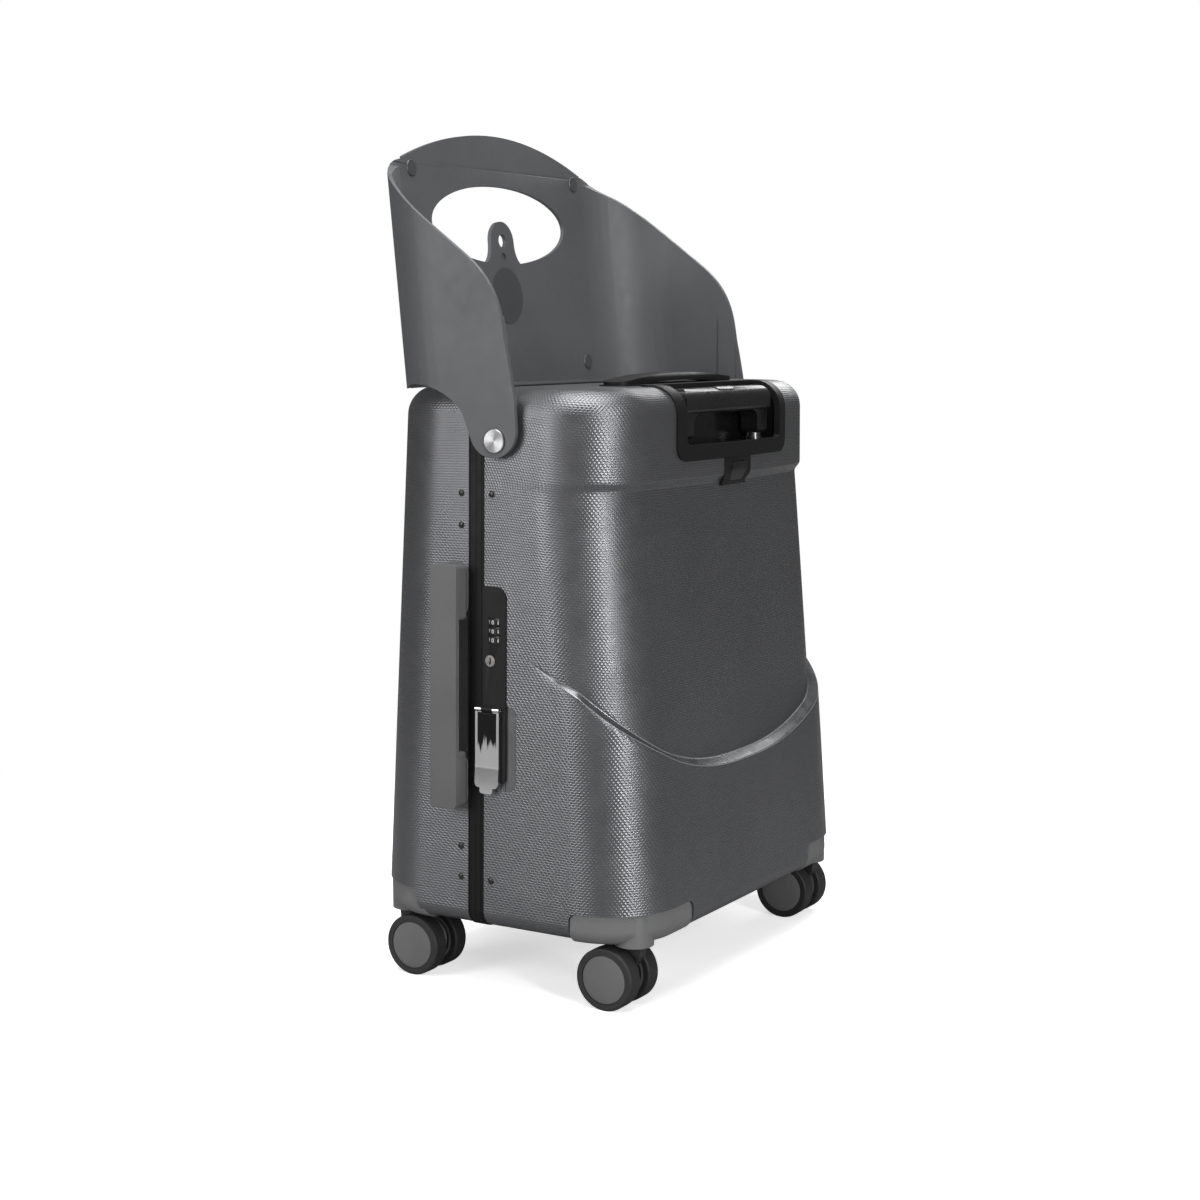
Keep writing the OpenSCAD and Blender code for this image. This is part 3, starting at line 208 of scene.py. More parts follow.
def welded(mesh):
    """A mesh opened for work, with the points that lie on each other joined."""
    work = bmesh.new()
    work.from_mesh(mesh)
    bmesh.ops.remove_doubles(work, verts=work.verts, dist=WELD)
    return work


def islands(node):
    """Lowest and highest corners of each loose part of a node, in a fixed order."""
    work = welded(NODES[node].data)
    left, boxes = set(work.verts), []
    while left:
        edge = [left.pop()]
        found = []
        while edge:
            here = edge.pop()
            found.append(here.co.copy())
            near = {link.other_vert(here) for link in here.link_edges} & left
            left -= near
            edge += near
        boxes.append(([min(c) for c in zip(*found)], [max(c) for c in zip(*found)]))
    work.free()
    return sorted(boxes)


def softened(node, key, radius, segments=2, shape=None):
    """A copy of a node with its crisp edges rounded, standing for the node. shape may change it first."""
    mesh = NODES[node].data.copy()
    work = welded(mesh)
    if shape:
        shape(work)
    bmesh.ops.dissolve_limit(work, angle_limit=math.radians(0.05), verts=work.verts, edges=work.edges)
    work.to_mesh(mesh)
    work.free()
    piece = link(mesh, node + "_piece")
    rounded_edges(piece, radius, segments)
    dress(piece, node, key)
    return piece


def rounded_edges(piece, radius, segments):
    """Rounds the crisp edges of a piece and leaves its flat faces flat."""
    smooth(piece)
    modify(piece, "BEVEL", harden_normals=True, width=radius, segments=segments, limit_method="ANGLE",
           angle_limit=CRISP_ANGLE, use_clamp_overlap=True)
    applied(piece)


# Materials


class Graph:
    """Short calls for building a tree of nodes."""

    def __init__(self, tree):
        self.tree = tree

    def put(self, socket, value):
        """Links another node's output to a socket, or sets the socket to a value."""
        if isinstance(value, bpy.types.NodeSocket):
            self.tree.links.new(value, socket)
        else:
            socket.default_value = value

    def add(self, kind, **values):
        """A node, with its properties by name and its inputs as in_NAME or by number as in_0."""
        node = self.tree.nodes.new(kind)
        for key, value in values.items():
            if key.startswith("in_"):
                place = key[3:]
                self.put(node.inputs[int(place) if place.isdigit() else place.replace("_", " ")], value)
            else:
                setattr(node, key, value)
        return node

    def math(self, operation, first, second=0.0, third=0.0):
        return self.add("ShaderNodeMath", operation=operation, in_0=first, in_1=second, in_2=third).outputs[0]

    def vector(self, operation, first, **values):
        return self.add("ShaderNodeVectorMath", operation=operation, in_0=first, **values).outputs


class Growth(Graph):
    """Geometry Nodes with named inputs, from a piece's points to plain geometry in one finish."""

    def __init__(self, name, **inputs):
        super().__init__(bpy.data.node_groups.new(name, "GeometryNodeTree"))
        self.values = {"Finish": inputs.pop("finish"), **inputs}
        face = self.tree.interface
        for way in ("OUTPUT", "INPUT"):
            face.new_socket("Geometry", in_out=way, socket_type="NodeSocketGeometry")
        for key, value in self.values.items():
            kind = "Float" if isinstance(value, float) else "Material"
            face.new_socket(key, in_out="INPUT", socket_type="NodeSocket" + kind)
        self.given = self.tree.nodes.new("NodeGroupInput").outputs

    def grown(self, piece, instances):
        """Ends the tree with these instances and turns the piece into what it makes."""
        real = self.add("GeometryNodeRealizeInstances", in_0=instances).outputs[0]
        paint = self.add("GeometryNodeSetMaterial", in_0=real, in_Material=self.given["Finish"])
        self.add("NodeGroupOutput", in_0=paint.outputs[0])
        step = modify(piece, "NODES", node_group=self.tree)
        for item in self.tree.interface.items_tree:
            if item.in_out == "INPUT" and item.name in self.values:
                step[item.identifier] = self.values[item.name]
        return applied(piece)


class Nodes(Graph):
    """A material's nodes."""

    def __init__(self, name, colour, roughness, metallic=0.0, gloss=0.5):
        self.material = bpy.data.materials.new(name)
        self.material.use_nodes = True
        super().__init__(self.material.node_tree)
        self.shader = self.tree.nodes["Principled BSDF"]
        self.set(Base_Color=(*colour, 1), Roughness=roughness, Metallic=metallic, Specular_IOR_Level=gloss)
        self.material.diffuse_color = (*colour, 1)

    def set(self, **values):
        """Sets or links inputs of the shader."""
        for key, value in values.items():
            self.put(self.shader.inputs[key.replace("_", " ")], value)

    def coords(self):
        return self.add("ShaderNodeTexCoord").outputs["Object"]

    def noise(self, vector, scale, detail=3.0):
        noise = self.add("ShaderNodeTexNoise", in_Vector=vector, in_Scale=scale, in_Detail=detail)
        return noise.outputs["Fac"]

    def spread(self, value, low, high, start=0.35, end=0.65):
        """Maps a noise value between two numbers."""
        spread = self.add("ShaderNodeMapRange", in_0=value, in_1=start, in_2=end, in_3=low, in_4=high)
        return spread.outputs[0]

    def bump(self, height, distance):
        node = self.add("ShaderNodeBump", in_Height=height, in_Distance=distance, in_Strength=1.0)
        self.set(Normal=node.outputs[0])

    def tint(self, factor, dark, light):
        mix = self.add("ShaderNodeMix", data_type="RGBA", in_0=factor, in_6=(*dark, 1), in_7=(*light, 1))
        self.set(Base_Color=mix.outputs[2])


def shade(colour, factor):
    return tuple(min(1.0, part * factor) for part in colour)


# Length and depth of the shell grain's zigzag, in pitches of its lines
ZIGZAG_LENGTH, ZIGZAG_DEPTH = 1.7, 0.16
# Width of the rim round the latch's face that keeps the chrome's bright colour, clear of the painted dark
# reflection, at its sides and its top, in metres
RIM_SIDE, RIM_TOP = 0.0022, 0.0045


def shell_finish():
    """Dark metallic plastic with a fine pressed zigzag grain that runs round the case."""
    sizes = bpy.context.scene.case_sizes
    n = Nodes("shell_grain", sizes.colour, 0.33, 0.75)
    uv = n.add("ShaderNodeSeparateXYZ", in_0=n.add("ShaderNodeUVMap", uv_map="surface").outputs[0])
    pitch = sizes.grain * MM
    slant = n.math("SUBTRACT", uv.outputs[0], uv.outputs[1])
    zigzag = n.math("SINE", n.math("DIVIDE", slant, ZIGZAG_LENGTH * pitch / (2 * math.pi)))
    line = n.math("ADD", n.math("DIVIDE", uv.outputs[1], pitch), n.math("MULTIPLY", zigzag, ZIGZAG_DEPTH))
    wave = n.math("SINE", n.math("MULTIPLY", line, 2 * math.pi))
    n.tint(n.spread(n.noise(n.coords(), 9.0), 0.0, 1.0), shade(sizes.colour, 0.95), shade(sizes.colour, 1.05))
    n.set(Roughness=n.spread(n.noise(n.coords(), 60.0), 0.3, 0.38))
    n.bump(wave, 0.00008)
    return n.material


def sand_finish(name, colour, roughness, grain=0.00003, scale=2600.0, gloss=0.5):
    """Moulded plastic with a fine sand grain."""
    n = Nodes(name, colour, roughness, 0.0, gloss)
    coords = n.coords()
    n.tint(n.spread(n.noise(coords, 14.0), 0.0, 1.0), shade(colour, 0.93), shade(colour, 1.07))
    n.set(Roughness=n.spread(n.noise(coords, 90.0), roughness - 0.04, roughness + 0.05))
    n.bump(n.noise(coords, scale, 2.0), grain)
    return n.material


def satin_finish(name, colour, roughness, metallic=0.0, gloss=0.5):
    """Smooth moulded plastic or paint with faint unevenness."""
    n = Nodes(name, colour, roughness, metallic, gloss)
    coords = n.coords()
    n.tint(n.spread(n.noise(coords, 22.0), 0.0, 1.0), shade(colour, 0.9), shade(colour, 1.1))
    n.set(Roughness=n.spread(n.noise(coords, 120.0), roughness - 0.04, roughness + 0.06))
    n.bump(n.noise(coords, 700.0, 2.0), 0.00002)
    return n.material


def tube_finish():
    """Satin aluminium with fine lines along the tube."""
    n = Nodes("tube_aluminium", (0.2, 0.2, 0.205), 0.3, 1.0)
    streak = n.add("ShaderNodeMapping", in_0=n.coords(), in_3=(900.0, 900.0, 12.0)).outputs[0]
    n.set(Roughness=n.spread(n.noise(streak, 1.0), 0.24, 0.38))
    return n.material


def spun_finish():
    """Steel brushed in circles about the fold pivot."""
    n = Nodes("spun_steel", (0.33, 0.33, 0.335), 0.32, 1.0)
    low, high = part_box("pivot_discs")
    centre = (0.0, (low[1] + high[1]) / 2, (low[2] + high[2]) / 2)
    offset = n.vector("SUBTRACT", n.coords(), in_1=centre)[0]
    flat = n.vector("MULTIPLY", offset, in_1=(0.0, 1.0, 1.0))[0]
    radius = n.vector("LENGTH", flat)["Value"]
    around = n.vector("CROSS_PRODUCT", flat, in_1=(1.0, 0.0, 0.0))[0]
    n.set(Tangent=n.vector("NORMALIZE", around)[0], Anisotropic=0.85)
    rings = n.add("ShaderNodeTexNoise", noise_dimensions="1D", in_W=n.math("MULTIPLY", radius, 2500.0))
    n.set(Roughness=n.spread(rings.outputs[0], 0.26, 0.34))
    return n.material


def chrome_painted_reflection_finish():
    """Chrome with a painted dark reflection on the upper face and the chrome's own bright colour below, with a
    ragged edge between, in a rim left bright.
    """
    n = Nodes("chrome_painted_dark_reflection", (0.8, 0.8, 0.81), 0.08, 1.0)
    low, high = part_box("latch_lever")
    place = n.add("ShaderNodeSeparateXYZ", in_0=n.coords()).outputs
    streak = n.add("ShaderNodeMapping", in_0=n.coords(), in_3=(0.0, 420.0, 22.0)).outputs[0]
    rise = n.math("DIVIDE", n.math("SUBTRACT", place[2], low[2]), high[2] - low[2])
    reflection_edge = n.math("ADD", rise, n.math("MULTIPLY", n.noise(streak, 1.0, 4.0), 0.55))
    # Mask of the painted dark reflection: the face above a ragged line
    dark = n.spread(reflection_edge, 0.0, 1.0, 0.82, 0.88)
    across = n.math("ABSOLUTE", n.math("SUBTRACT", place[1], (low[1] + high[1]) / 2))
    inner = n.math("MULTIPLY", n.math("LESS_THAN", across, (high[1] - low[1]) / 2 - RIM_SIDE),
                   n.math("LESS_THAN", place[2], high[2] - RIM_TOP))
    # Paints the dark reflection inside the rim; the rest keeps the chrome's colour
    n.tint(n.math("MULTIPLY", dark, inner), (0.8, 0.8, 0.81), (0.03, 0.03, 0.031))
    return n.material


MATERIALS = {}


def material(key):
    """Each finish is made once, when a piece first asks for it."""
    scene = bpy.context.scene
    sand, satin = sand_finish, satin_finish
    makers = {
        "shell": (shell_finish,),
        "shell_band": (satin, "shell_smooth", scene.case_sizes.colour, 0.3, 0.8),
        # A pale colour that paints the highlight along the ledge band's edges
        "shell_lip": (satin, "shell_lip", (0.42, 0.425, 0.435), 0.3, 0.6),
        "seat": (sand, "seat_grain", scene.seat_sizes.colour, 0.5, 0.00007, 1700.0),
        "seat_trim": (sand, "seat_trim", (0.058, 0.059, 0.061), 0.4),
        "guard": (sand, "guard_grey", (0.15, 0.151, 0.154), 0.6),
        "side_grip": (sand, "side_handle_grey", (0.105, 0.106, 0.108), 0.6),
        "hub": (sand, "hub_grey", (0.13, 0.131, 0.134), 0.6),
        "black_plastic": (sand, "black_plastic", (0.01, 0.01, 0.0105), 0.5, 0.00003, 2200.0, 0.22),
        "frame": (satin, "frame_black", (0.006, 0.006, 0.0065), 0.5, 0.0, 0.2),
        "black_gloss": (satin, "black_gloss", (0.006, 0.006, 0.006), 0.18, 0.0, 0.4),
        "button": (satin, "button_black", (0.012, 0.012, 0.0125), 0.3, 0.0, 0.45),
        "rivet": (satin, "rivet_black", (0.012, 0.012, 0.012), 0.25),
        "fork": (satin, "fork_black", (0.022, 0.022, 0.022), 0.5),
        "tyre": (satin, "tyre_black", (0.02, 0.02, 0.02), 0.6),
        "rubber": (satin, "rubber_black", (0.018, 0.018, 0.018), 0.7),
        "digit": (satin, "digit_white", (0.75, 0.75, 0.75), 0.5),
        "nickel": (satin, "nickel", (0.42, 0.41, 0.39), 0.25, 1.0),
        "tube": (tube_finish,),
        "steel": (spun_finish,),
        # The chrome finish paints a dark reflection on the latch's face
        "chrome": (chrome_painted_reflection_finish,),
    }
    if key not in MATERIALS:
        maker, *values = makers[key]
        MATERIALS[key] = maker(*values)
    return MATERIALS[key]


# The lofted shells


def half_width(sizes, z):
    return sizes.half_top + sizes.flare * (sizes.top - z) / (sizes.top - sizes.bottom)


def side_lean(sizes):
    """The angle at which the sides lean, in radians."""
    return math.atan(sizes.flare / (sizes.top - sizes.bottom))


def ease(t):
    return t * t * (3 - 2 * t)


def rounded_step(t):
    """A straight slope from 0 to 1 with both of its ends rounded off."""
    slope = 1 / (1 - ROUND)
    if t < ROUND:
        return slope * t * t / (2 * ROUND)
    if t > 1 - ROUND:
        return 1 - slope * (1 - t) ** 2 / (2 * ROUND)
    return slope * (t - ROUND / 2)


# Faces along the side, round the corner and to the middle of the front
COUNTS = (20, 30, 26)
# Rounded share of the ledge's step at each of its ends
ROUND = 0.2
# The lip curves up to this distance from the middle of the outline, and climbs evenly beyond it
TURN_S = 205
LIP_POWER = 2.5
SIDE_SLOPE = 0.6
# Where the ledge runs out, over what distance it narrows, and where its groove starts on the front
LEDGE_END = 248
LEDGE_TAPER = 60
GROOVE_START = 120
GROOVE = 1.2
LEAST_BAND = 0.15
# Shares of the ledge's step between which it has the band's finish, and outside them the pale finish that paints
# the highlight on the band's edges
BAND_SHARES = (0.15, 0.9)
# Bulge in millimetres of the faces that look flat
FLAT_CROWN = 0.5


def limited(value):
    return min(1, max(0, value))


def ledge_share(s):
    """Runs from 0 at the ledge's pointed end to 1 where it has its full height."""
    return ease(limited((LEDGE_END - s) / LEDGE_TAPER))


def lip(sizes, s):
    """Height of the ledge's lip at a distance along the outline from the middle."""
    if s < TURN_S:
        return sizes.ledge + sizes.ledge_rise * (s / TURN_S) ** LIP_POWER
    return sizes.ledge + sizes.ledge_rise + SIDE_SLOPE * (s - TURN_S)


def steps(kind, count):
    return [(kind, k / count) for k in range(count + 1)]


def levels_of(front):
    """Rows of a shell, each with a letter and its share of the way up: bottom edge, lower face, ledge's
    step, recess, collar's roll and top edge. The back has only the first two and the last."""
    if not front:
        return steps("b", 12) + steps("l", 8)[1:-1] + steps("t", 14)
    levels = steps("b", 12) + steps("l", 10)[1:-1] + [("l", 0.97), ("l", 1.0)]
    levels += [("s", ROUND * k / 4) for k in range(1, 5)] + [("s", 0.5)]
    levels += [("s", 1 - ROUND * k / 4) for k in range(4, -1, -1)]
    return levels + [("r", 0.02)] + steps("r", 14)[1:-1] + steps("c", 10) + steps("t", 14)


def level_height(sizes, level, s, depth, edge):
    """Height of a level's point. edge is where the lower face ends."""
    kind, t = level
    if kind == "b":
        return sizes.bottom + sizes.bottom_edge - (sizes.bottom_edge - depth) * math.cos(math.pi / 2 * t)
    if kind == "t":
        return sizes.top - sizes.top_edge + (sizes.top_edge - depth) * math.sin(math.pi / 2 * t)
    band = sizes.ledge_h * (LEAST_BAND + (1 - LEAST_BAND) * ledge_share(s))
    if kind == "l":
        low = sizes.bottom + sizes.bottom_edge
        return low + (edge - low) * t
    if kind == "s":
        return edge + band * t
    if kind == "r":
        return edge + band + (sizes.collar_z - edge - band) * t
    return sizes.collar_z + sizes.collar_roll * t


def level_inset(sizes, level, depth, s):
    kind, t = level
    if kind == "s":
        fade = ease(limited((s - GROOVE_START) / LEDGE_TAPER))
        return depth + GROOVE * ledge_share(s) * fade * math.sin(math.pi * t)
    if kind == "b":
        return sizes.bottom_edge - (sizes.bottom_edge - depth) * math.sin(math.pi / 2 * t)
    if kind == "t":
        return sizes.top_edge - (sizes.top_edge - depth) * math.cos(math.pi / 2 * t)
    return depth


def low_face(sizes, z):
    return sizes.front_base - sizes.front_draft * (z - sizes.bottom), sizes.corner, FLAT_CROWN


def recess_face(sizes, z):
    crown = max(FLAT_CROWN, sizes.crown * (z - sizes.ledge) / (sizes.collar_z - sizes.ledge))
    return sizes.recess_front + sizes.recess_draft * (sizes.collar_z - z), sizes.recess_corner, crown


def level_face(sizes, level, z):
    kind, t = level
    if kind in "bl":
        return low_face(sizes, z)
    if kind == "s":
        low, high = low_face(sizes, z), recess_face(sizes, z)
        return tuple(a + (b - a) * rounded_step(t) for a, b in zip(low, high))
    if kind == "r":
        return recess_face(sizes, z)
    share = 1.0 if kind == "t" else ease(t)
    start = sizes.recess_front
    return start + (sizes.collar_front - start) * share, sizes.recess_corner, sizes.crown


def back_face(sizes, z):
    return sizes.back_base - sizes.back_draft * (z - sizes.bottom), sizes.corner, FLAT_CROWN


def arc_lengths(points):
    """Distance of each point along the outline, from its middle and positive towards +X."""
    sums = [0.0]
    for one, two in zip(points, points[1:]):
        sums.append(sums[-1] + math.dist(one, two))
    middle = sums[len(points) // 2]
    return [value - middle for value in sums]


# How many columns to each side are searched, and in how many steps
SEARCH, SEARCH_STEPS = 8, 30


def meeting_column(sizes, seam, depth, s, j):
    """The column at which the recess comes nearest to the outline below the ledge."""
    last = sum(COUNTS)
    k = min(j, 2 * last - j)
    z = lip(sizes, abs(s)) + sizes.ledge_h / 2
    a = half_width(sizes, z)
    here = outline_point(a, *low_face(sizes, z), depth, seam, k)
    low, high = max(0, k - SEARCH), min(last, k + SEARCH)
    for _ in range(SEARCH_STEPS):
        third = (high - low) / 3
        away = [math.dist(here, outline_point(a, *recess_face(sizes, z), depth, seam, c))
                for c in (low + third, high - third)]
        low, high = (low, high - third) if away[0] < away[1] else (low + third, high)
    found = (low + high) / 2
    return found if k == j else 2 * last - found


def slide_share(level):
    """How far a level's columns have slid towards the ones that meet them at the ledge."""
    kind, t = level
    return {"s": rounded_step(t), "r": 1 - ease(t)}.get(kind, 0)


def shell_rings(sizes, front, depth):
    """The rings of one skin, as points in millimetres, and each column's distance along the outline."""
    seam = sizes.seam - sizes.seam_half if front else -(sizes.seam + sizes.seam_half)
    # Distances are those of one outline at mid height, for all rows alike
    middle = sizes.half_top + 3, sizes.recess_front + 10, sizes.corner, 1, 0, seam
    reach = arc_lengths([outline_point(*middle, j) for j in range(2 * sum(COUNTS) + 1)])
    rings = []
    meeting = [meeting_column(sizes, seam, depth, s, j) if front else j for j, s in enumerate(reach)]
    for level in levels_of(front):
        ring = []
        for j, s in enumerate(reach):
            column = j + (meeting[j] - j) * slide_share(level)
            edge = lip(sizes, abs(s)) if front else sizes.top - sizes.top_edge
            z = level_height(sizes, level, abs(s), depth, edge)
            face = level_face(sizes, level, z) if front else back_face(sizes, z)
            inset = level_inset(sizes, level, depth, abs(s))
            points = outline_point(half_width(sizes, z), *face, inset, seam, column)
            ring.append((points[0], points[1] if front else -points[1], z))
        rings.append(ring)
    return rings, reach


# The third finish paints the highlight on the ledge band's edges
SHELL_FINISHES = ("shell", "shell_band", "shell_lip")
# Where the grain of the flat top and bottom lies, clear of the walls' own, in metres
FLAT_GRAIN = 0.5


def ledge_finish(level, s):
    """A face's place in SHELL_FINISHES: the grain, the ledge's band or the painted highlight on the band's edges.
    """
    kind, t = level
    if kind != "s" or abs(s) > LEDGE_END:
        return 0
    return 1 if BAND_SHARES[0] < t < BAND_SHARES[1] else 2


def outline_point(a, face, corner, crown, inset, seam, j):
    """One point of the outline, so that each can have its own height."""
    side_n, arc_n, face_n = COUNTS
    half_n = side_n + arc_n + 1 + face_n
    mirrored = j >= half_n
    k = 2 * half_n - 2 - j if mirrored else j
    big = (a - corner) ** 2 / (2 * crown)
    turn = math.asin((a - corner) / (big - corner))
    centre_y = -face + big - (big - corner) * math.cos(turn)
    if k < side_n:
        x, y = -(a - inset), seam + (centre_y - seam) * k / side_n
    elif k <= side_n + arc_n:
        angle = (math.pi / 2 - turn) * (k - side_n) / arc_n
        x = -(a - corner) - (corner - inset) * math.cos(angle)
        y = centre_y - (corner - inset) * math.sin(angle)
    else:
        angle = turn * (1 - (k - side_n - arc_n) / face_n)
        x, y = -(big - inset) * math.sin(angle), -face + big - (big - inset) * math.cos(angle)
    return (-x if mirrored else x), y


def shell_mesh(name, sizes, front):
    """A closed half shell: outer skin, inner skin, top, bottom and the rim at the seam."""
    (outer, reach), (inner, _) = (shell_rings(sizes, front, depth) for depth in (0.0, sizes.wall))
    count, rows = len(reach), len(outer)
    verts = [tuple(c * MM for c in p) for skin in (outer, inner) for ring in skin for p in ring]
    grain = []
    for skin in (outer, inner):
        climb = [0.0] * count
        for i, ring in enumerate(skin):
            if i:
                climb = [c + math.dist(p, q) for c, p, q in zip(climb, ring, skin[i - 1])]
            grain += [(s * MM, c * MM) for s, c in zip(reach, climb)]
    levels = levels_of(front)
    faces, uvs, bands = [], [], []

    def face(corners, flat=None, band=0):
        corners = corners if front else corners[::-1]
        faces.append(corners)
        bands.append(band)
        for index in corners:
            x, y, z = verts[index]
            uvs.append(grain[index] if flat is None else (x, flat + y))

    base = rows * count
    for skin, turned in ((0, False), (base, True)):
        for i in range(rows - 1):
            for j in range(count - 1):
                a, b = skin + i * count + j, skin + (i + 1) * count + j
                band = ledge_finish(levels[i + 1], reach[j])
                face((a, a + 1, b + 1, b) if not turned else (a, b, b + 1, a + 1), band=band)
        for row, up in ((0, False), (rows - 1, True)):
            for j in range(count // 2):
                a, b = skin + row * count + j, skin + (row + 1) * count - 1 - j
                quad = [a, a + 1, b - 1, b] if a + 1 != b - 1 else [a, a + 1, b]
                face(tuple(quad if up != turned else quad[::-1]), FLAT_GRAIN)
    for i in range(rows - 1):
        a, b = i * count, (i + 1) * count
        face((a, b, base + b, base + a))
        face((a + count - 1, base + a + count - 1, base + b + count - 1, b + count - 1))
    top = (rows - 1) * count
    face((top, top + count - 1, base + top + count - 1, base + top))
    face((0, base, base + count - 1, count - 1))
    mesh = mesh_of(name, verts, faces, uvs)
    for key in SHELL_FINISHES:
        mesh.materials.append(material(key))
    mesh.polygons.foreach_set("material_index", bands)
    return mesh


def prism(outline, low, high, axis, name="cutter"):
    """A closed prism of an outline in millimetres. axis says which way it runs."""
    i, n = "xyz".index(axis), len(outline)
    verts = [tuple(c * MM for c in (*p[:i], w, *p[i:])) for w in (low, high) for p in outline]
    faces = [tuple(range(n)), tuple(range(2 * n - 1, n - 1, -1))]
    faces += [(i, i + n, (i + 1) % n + n, (i + 1) % n) for i in range(n)]
    mesh = mesh_of(name, verts, faces)
    work = bmesh.new()
    work.from_mesh(mesh)
    bmesh.ops.recalc_face_normals(work, faces=work.faces)
    work.to_mesh(mesh)
    work.free()
    return link(mesh, name)


def rounded(points, radii, step=7):
    """An outline with arcs at its corners. Points run anticlockwise."""
    made, n = [], len(points)
    for i, radius in enumerate(radii if isinstance(radii, (list, tuple)) else [radii] * n):
        before, here, after = (Vector(points[(i + k) % n]) for k in (-1, 0, 1))
        if radius == 0:
            made.append(tuple(here))
            continue
        u, w = (before - here).normalized(), (after - here).normalized()
        half = math.acos(max(-1, min(1, u.dot(w)))) / 2
        centre = here + (u + w).normalized() * radius / math.sin(half)
        start = here + u * radius / math.tan(half) - centre
        sweep = (math.pi - 2 * half) * (-1 if u.x * w.y - u.y * w.x > 0 else 1)
        steps = max(3, math.ceil(abs(math.degrees(sweep)) / step))
        for k in range(steps + 1):
            angle = sweep * k / steps
            made.append((centre.x + start.x * math.cos(angle) - start.y * math.sin(angle),
                         centre.y + start.x * math.sin(angle) + start.y * math.cos(angle)))
    return made


def rectangle(x0, y0, x1, y1):
    return [(x0, y0), (x1, y0), (x1, y1), (x0, y1)]


def circle(radius, count, x=0, y=0):
    turns = [2 * math.pi * k / count for k in range(count)]
    return [(x + radius * math.cos(turn), y + radius * math.sin(turn)) for turn in turns]


def middle_of(low, high):
    return [(a + b) / 2 for a, b in zip(low, high)]


def box_mm(node):
    """Lowest and highest corners of a node in millimetres."""
    return [[c / MM for c in corner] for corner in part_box(node)]


# Cutters run out past the shells to these distances in X, Y and Z, and to FRONT_OUT before the front
OUT_X, OUT_Y, OUT_Z, FRONT_OUT = 230, 170, 520, -150
GUARD_GAP, GUARD_CORNER, GUARD_SLANT, GUARD_DROP = 0.35, 6, 12, 20


def guard_cutter(node, sizes):
    """The pocket that a corner guard sits in, a little larger than the guard."""
    low, high = box_mm(node)
    left, front = low[0] < 0, low[1] < 0
    x, out_x = (high[0] + GUARD_GAP, -OUT_X) if left else (low[0] - GUARD_GAP, OUT_X)
    y, out_y, slant = (high[1] + GUARD_GAP, -OUT_Y, 0) if front else (low[1] - GUARD_GAP, OUT_Y, GUARD_SLANT)
    top, bottom = high[2] + GUARD_GAP, sizes.bottom - GUARD_DROP
    radii = [0, 0, 0, GUARD_CORNER]
    side = rounded([(y, bottom), (out_y, bottom), (out_y, top), (y + slant, top)], radii)
    cutter = prism(side, 0, out_x, "x")
    cut(cutter, [prism(rounded(rectangle(x, bottom, out_x, top), radii), 0, out_y, "y")], "INTERSECT")
    return cutter


def side_cutter(sizes, outline, z, low, high):
    """A prism that leans with the -X side. outline is in Y and in heights above z, low and high in depth."""
    piece = prism(outline, low, high, "x")
    place = Matrix.Translation((-half_width(sizes, z) * MM, 0, z * MM))
    piece.data.transform(place @ Matrix.Rotation(side_lean(sizes), 4, "Y"))
    return piece


# Openings in the front shell: halves are of widths, floors are where cuts from above end
RECESS_HALF, RECESS_BACK, RECESS_FLOOR = 83.3, -80.7, 425
TAB_HALF, TAB_LOW, TAB_HIGH, TAB_BACK = 22.7, 399.3, 427, -90
TRAY_HALF, TRAY_EDGE, TRAY_CORNER, TRAY_FLOOR = 64.2, 1.8, 8.2, 460
STRAP_HALF, STRAP_REACH, STRAP_CORNER = 93.2, 11.2, 4.2
PIN_GAP = 0.2
LOCK_HALF, LOCK_END, LOCK_DEPTH = 9, 4.8, 14.2
DIP_REACH, DIP_OVERLAP, DIP_FOOT, DIP_TOP, DIP_CORNER, DIP_DEPTH = 9.5, 1, -2, 66, 9, 0.9
LOCK_OUT = -6


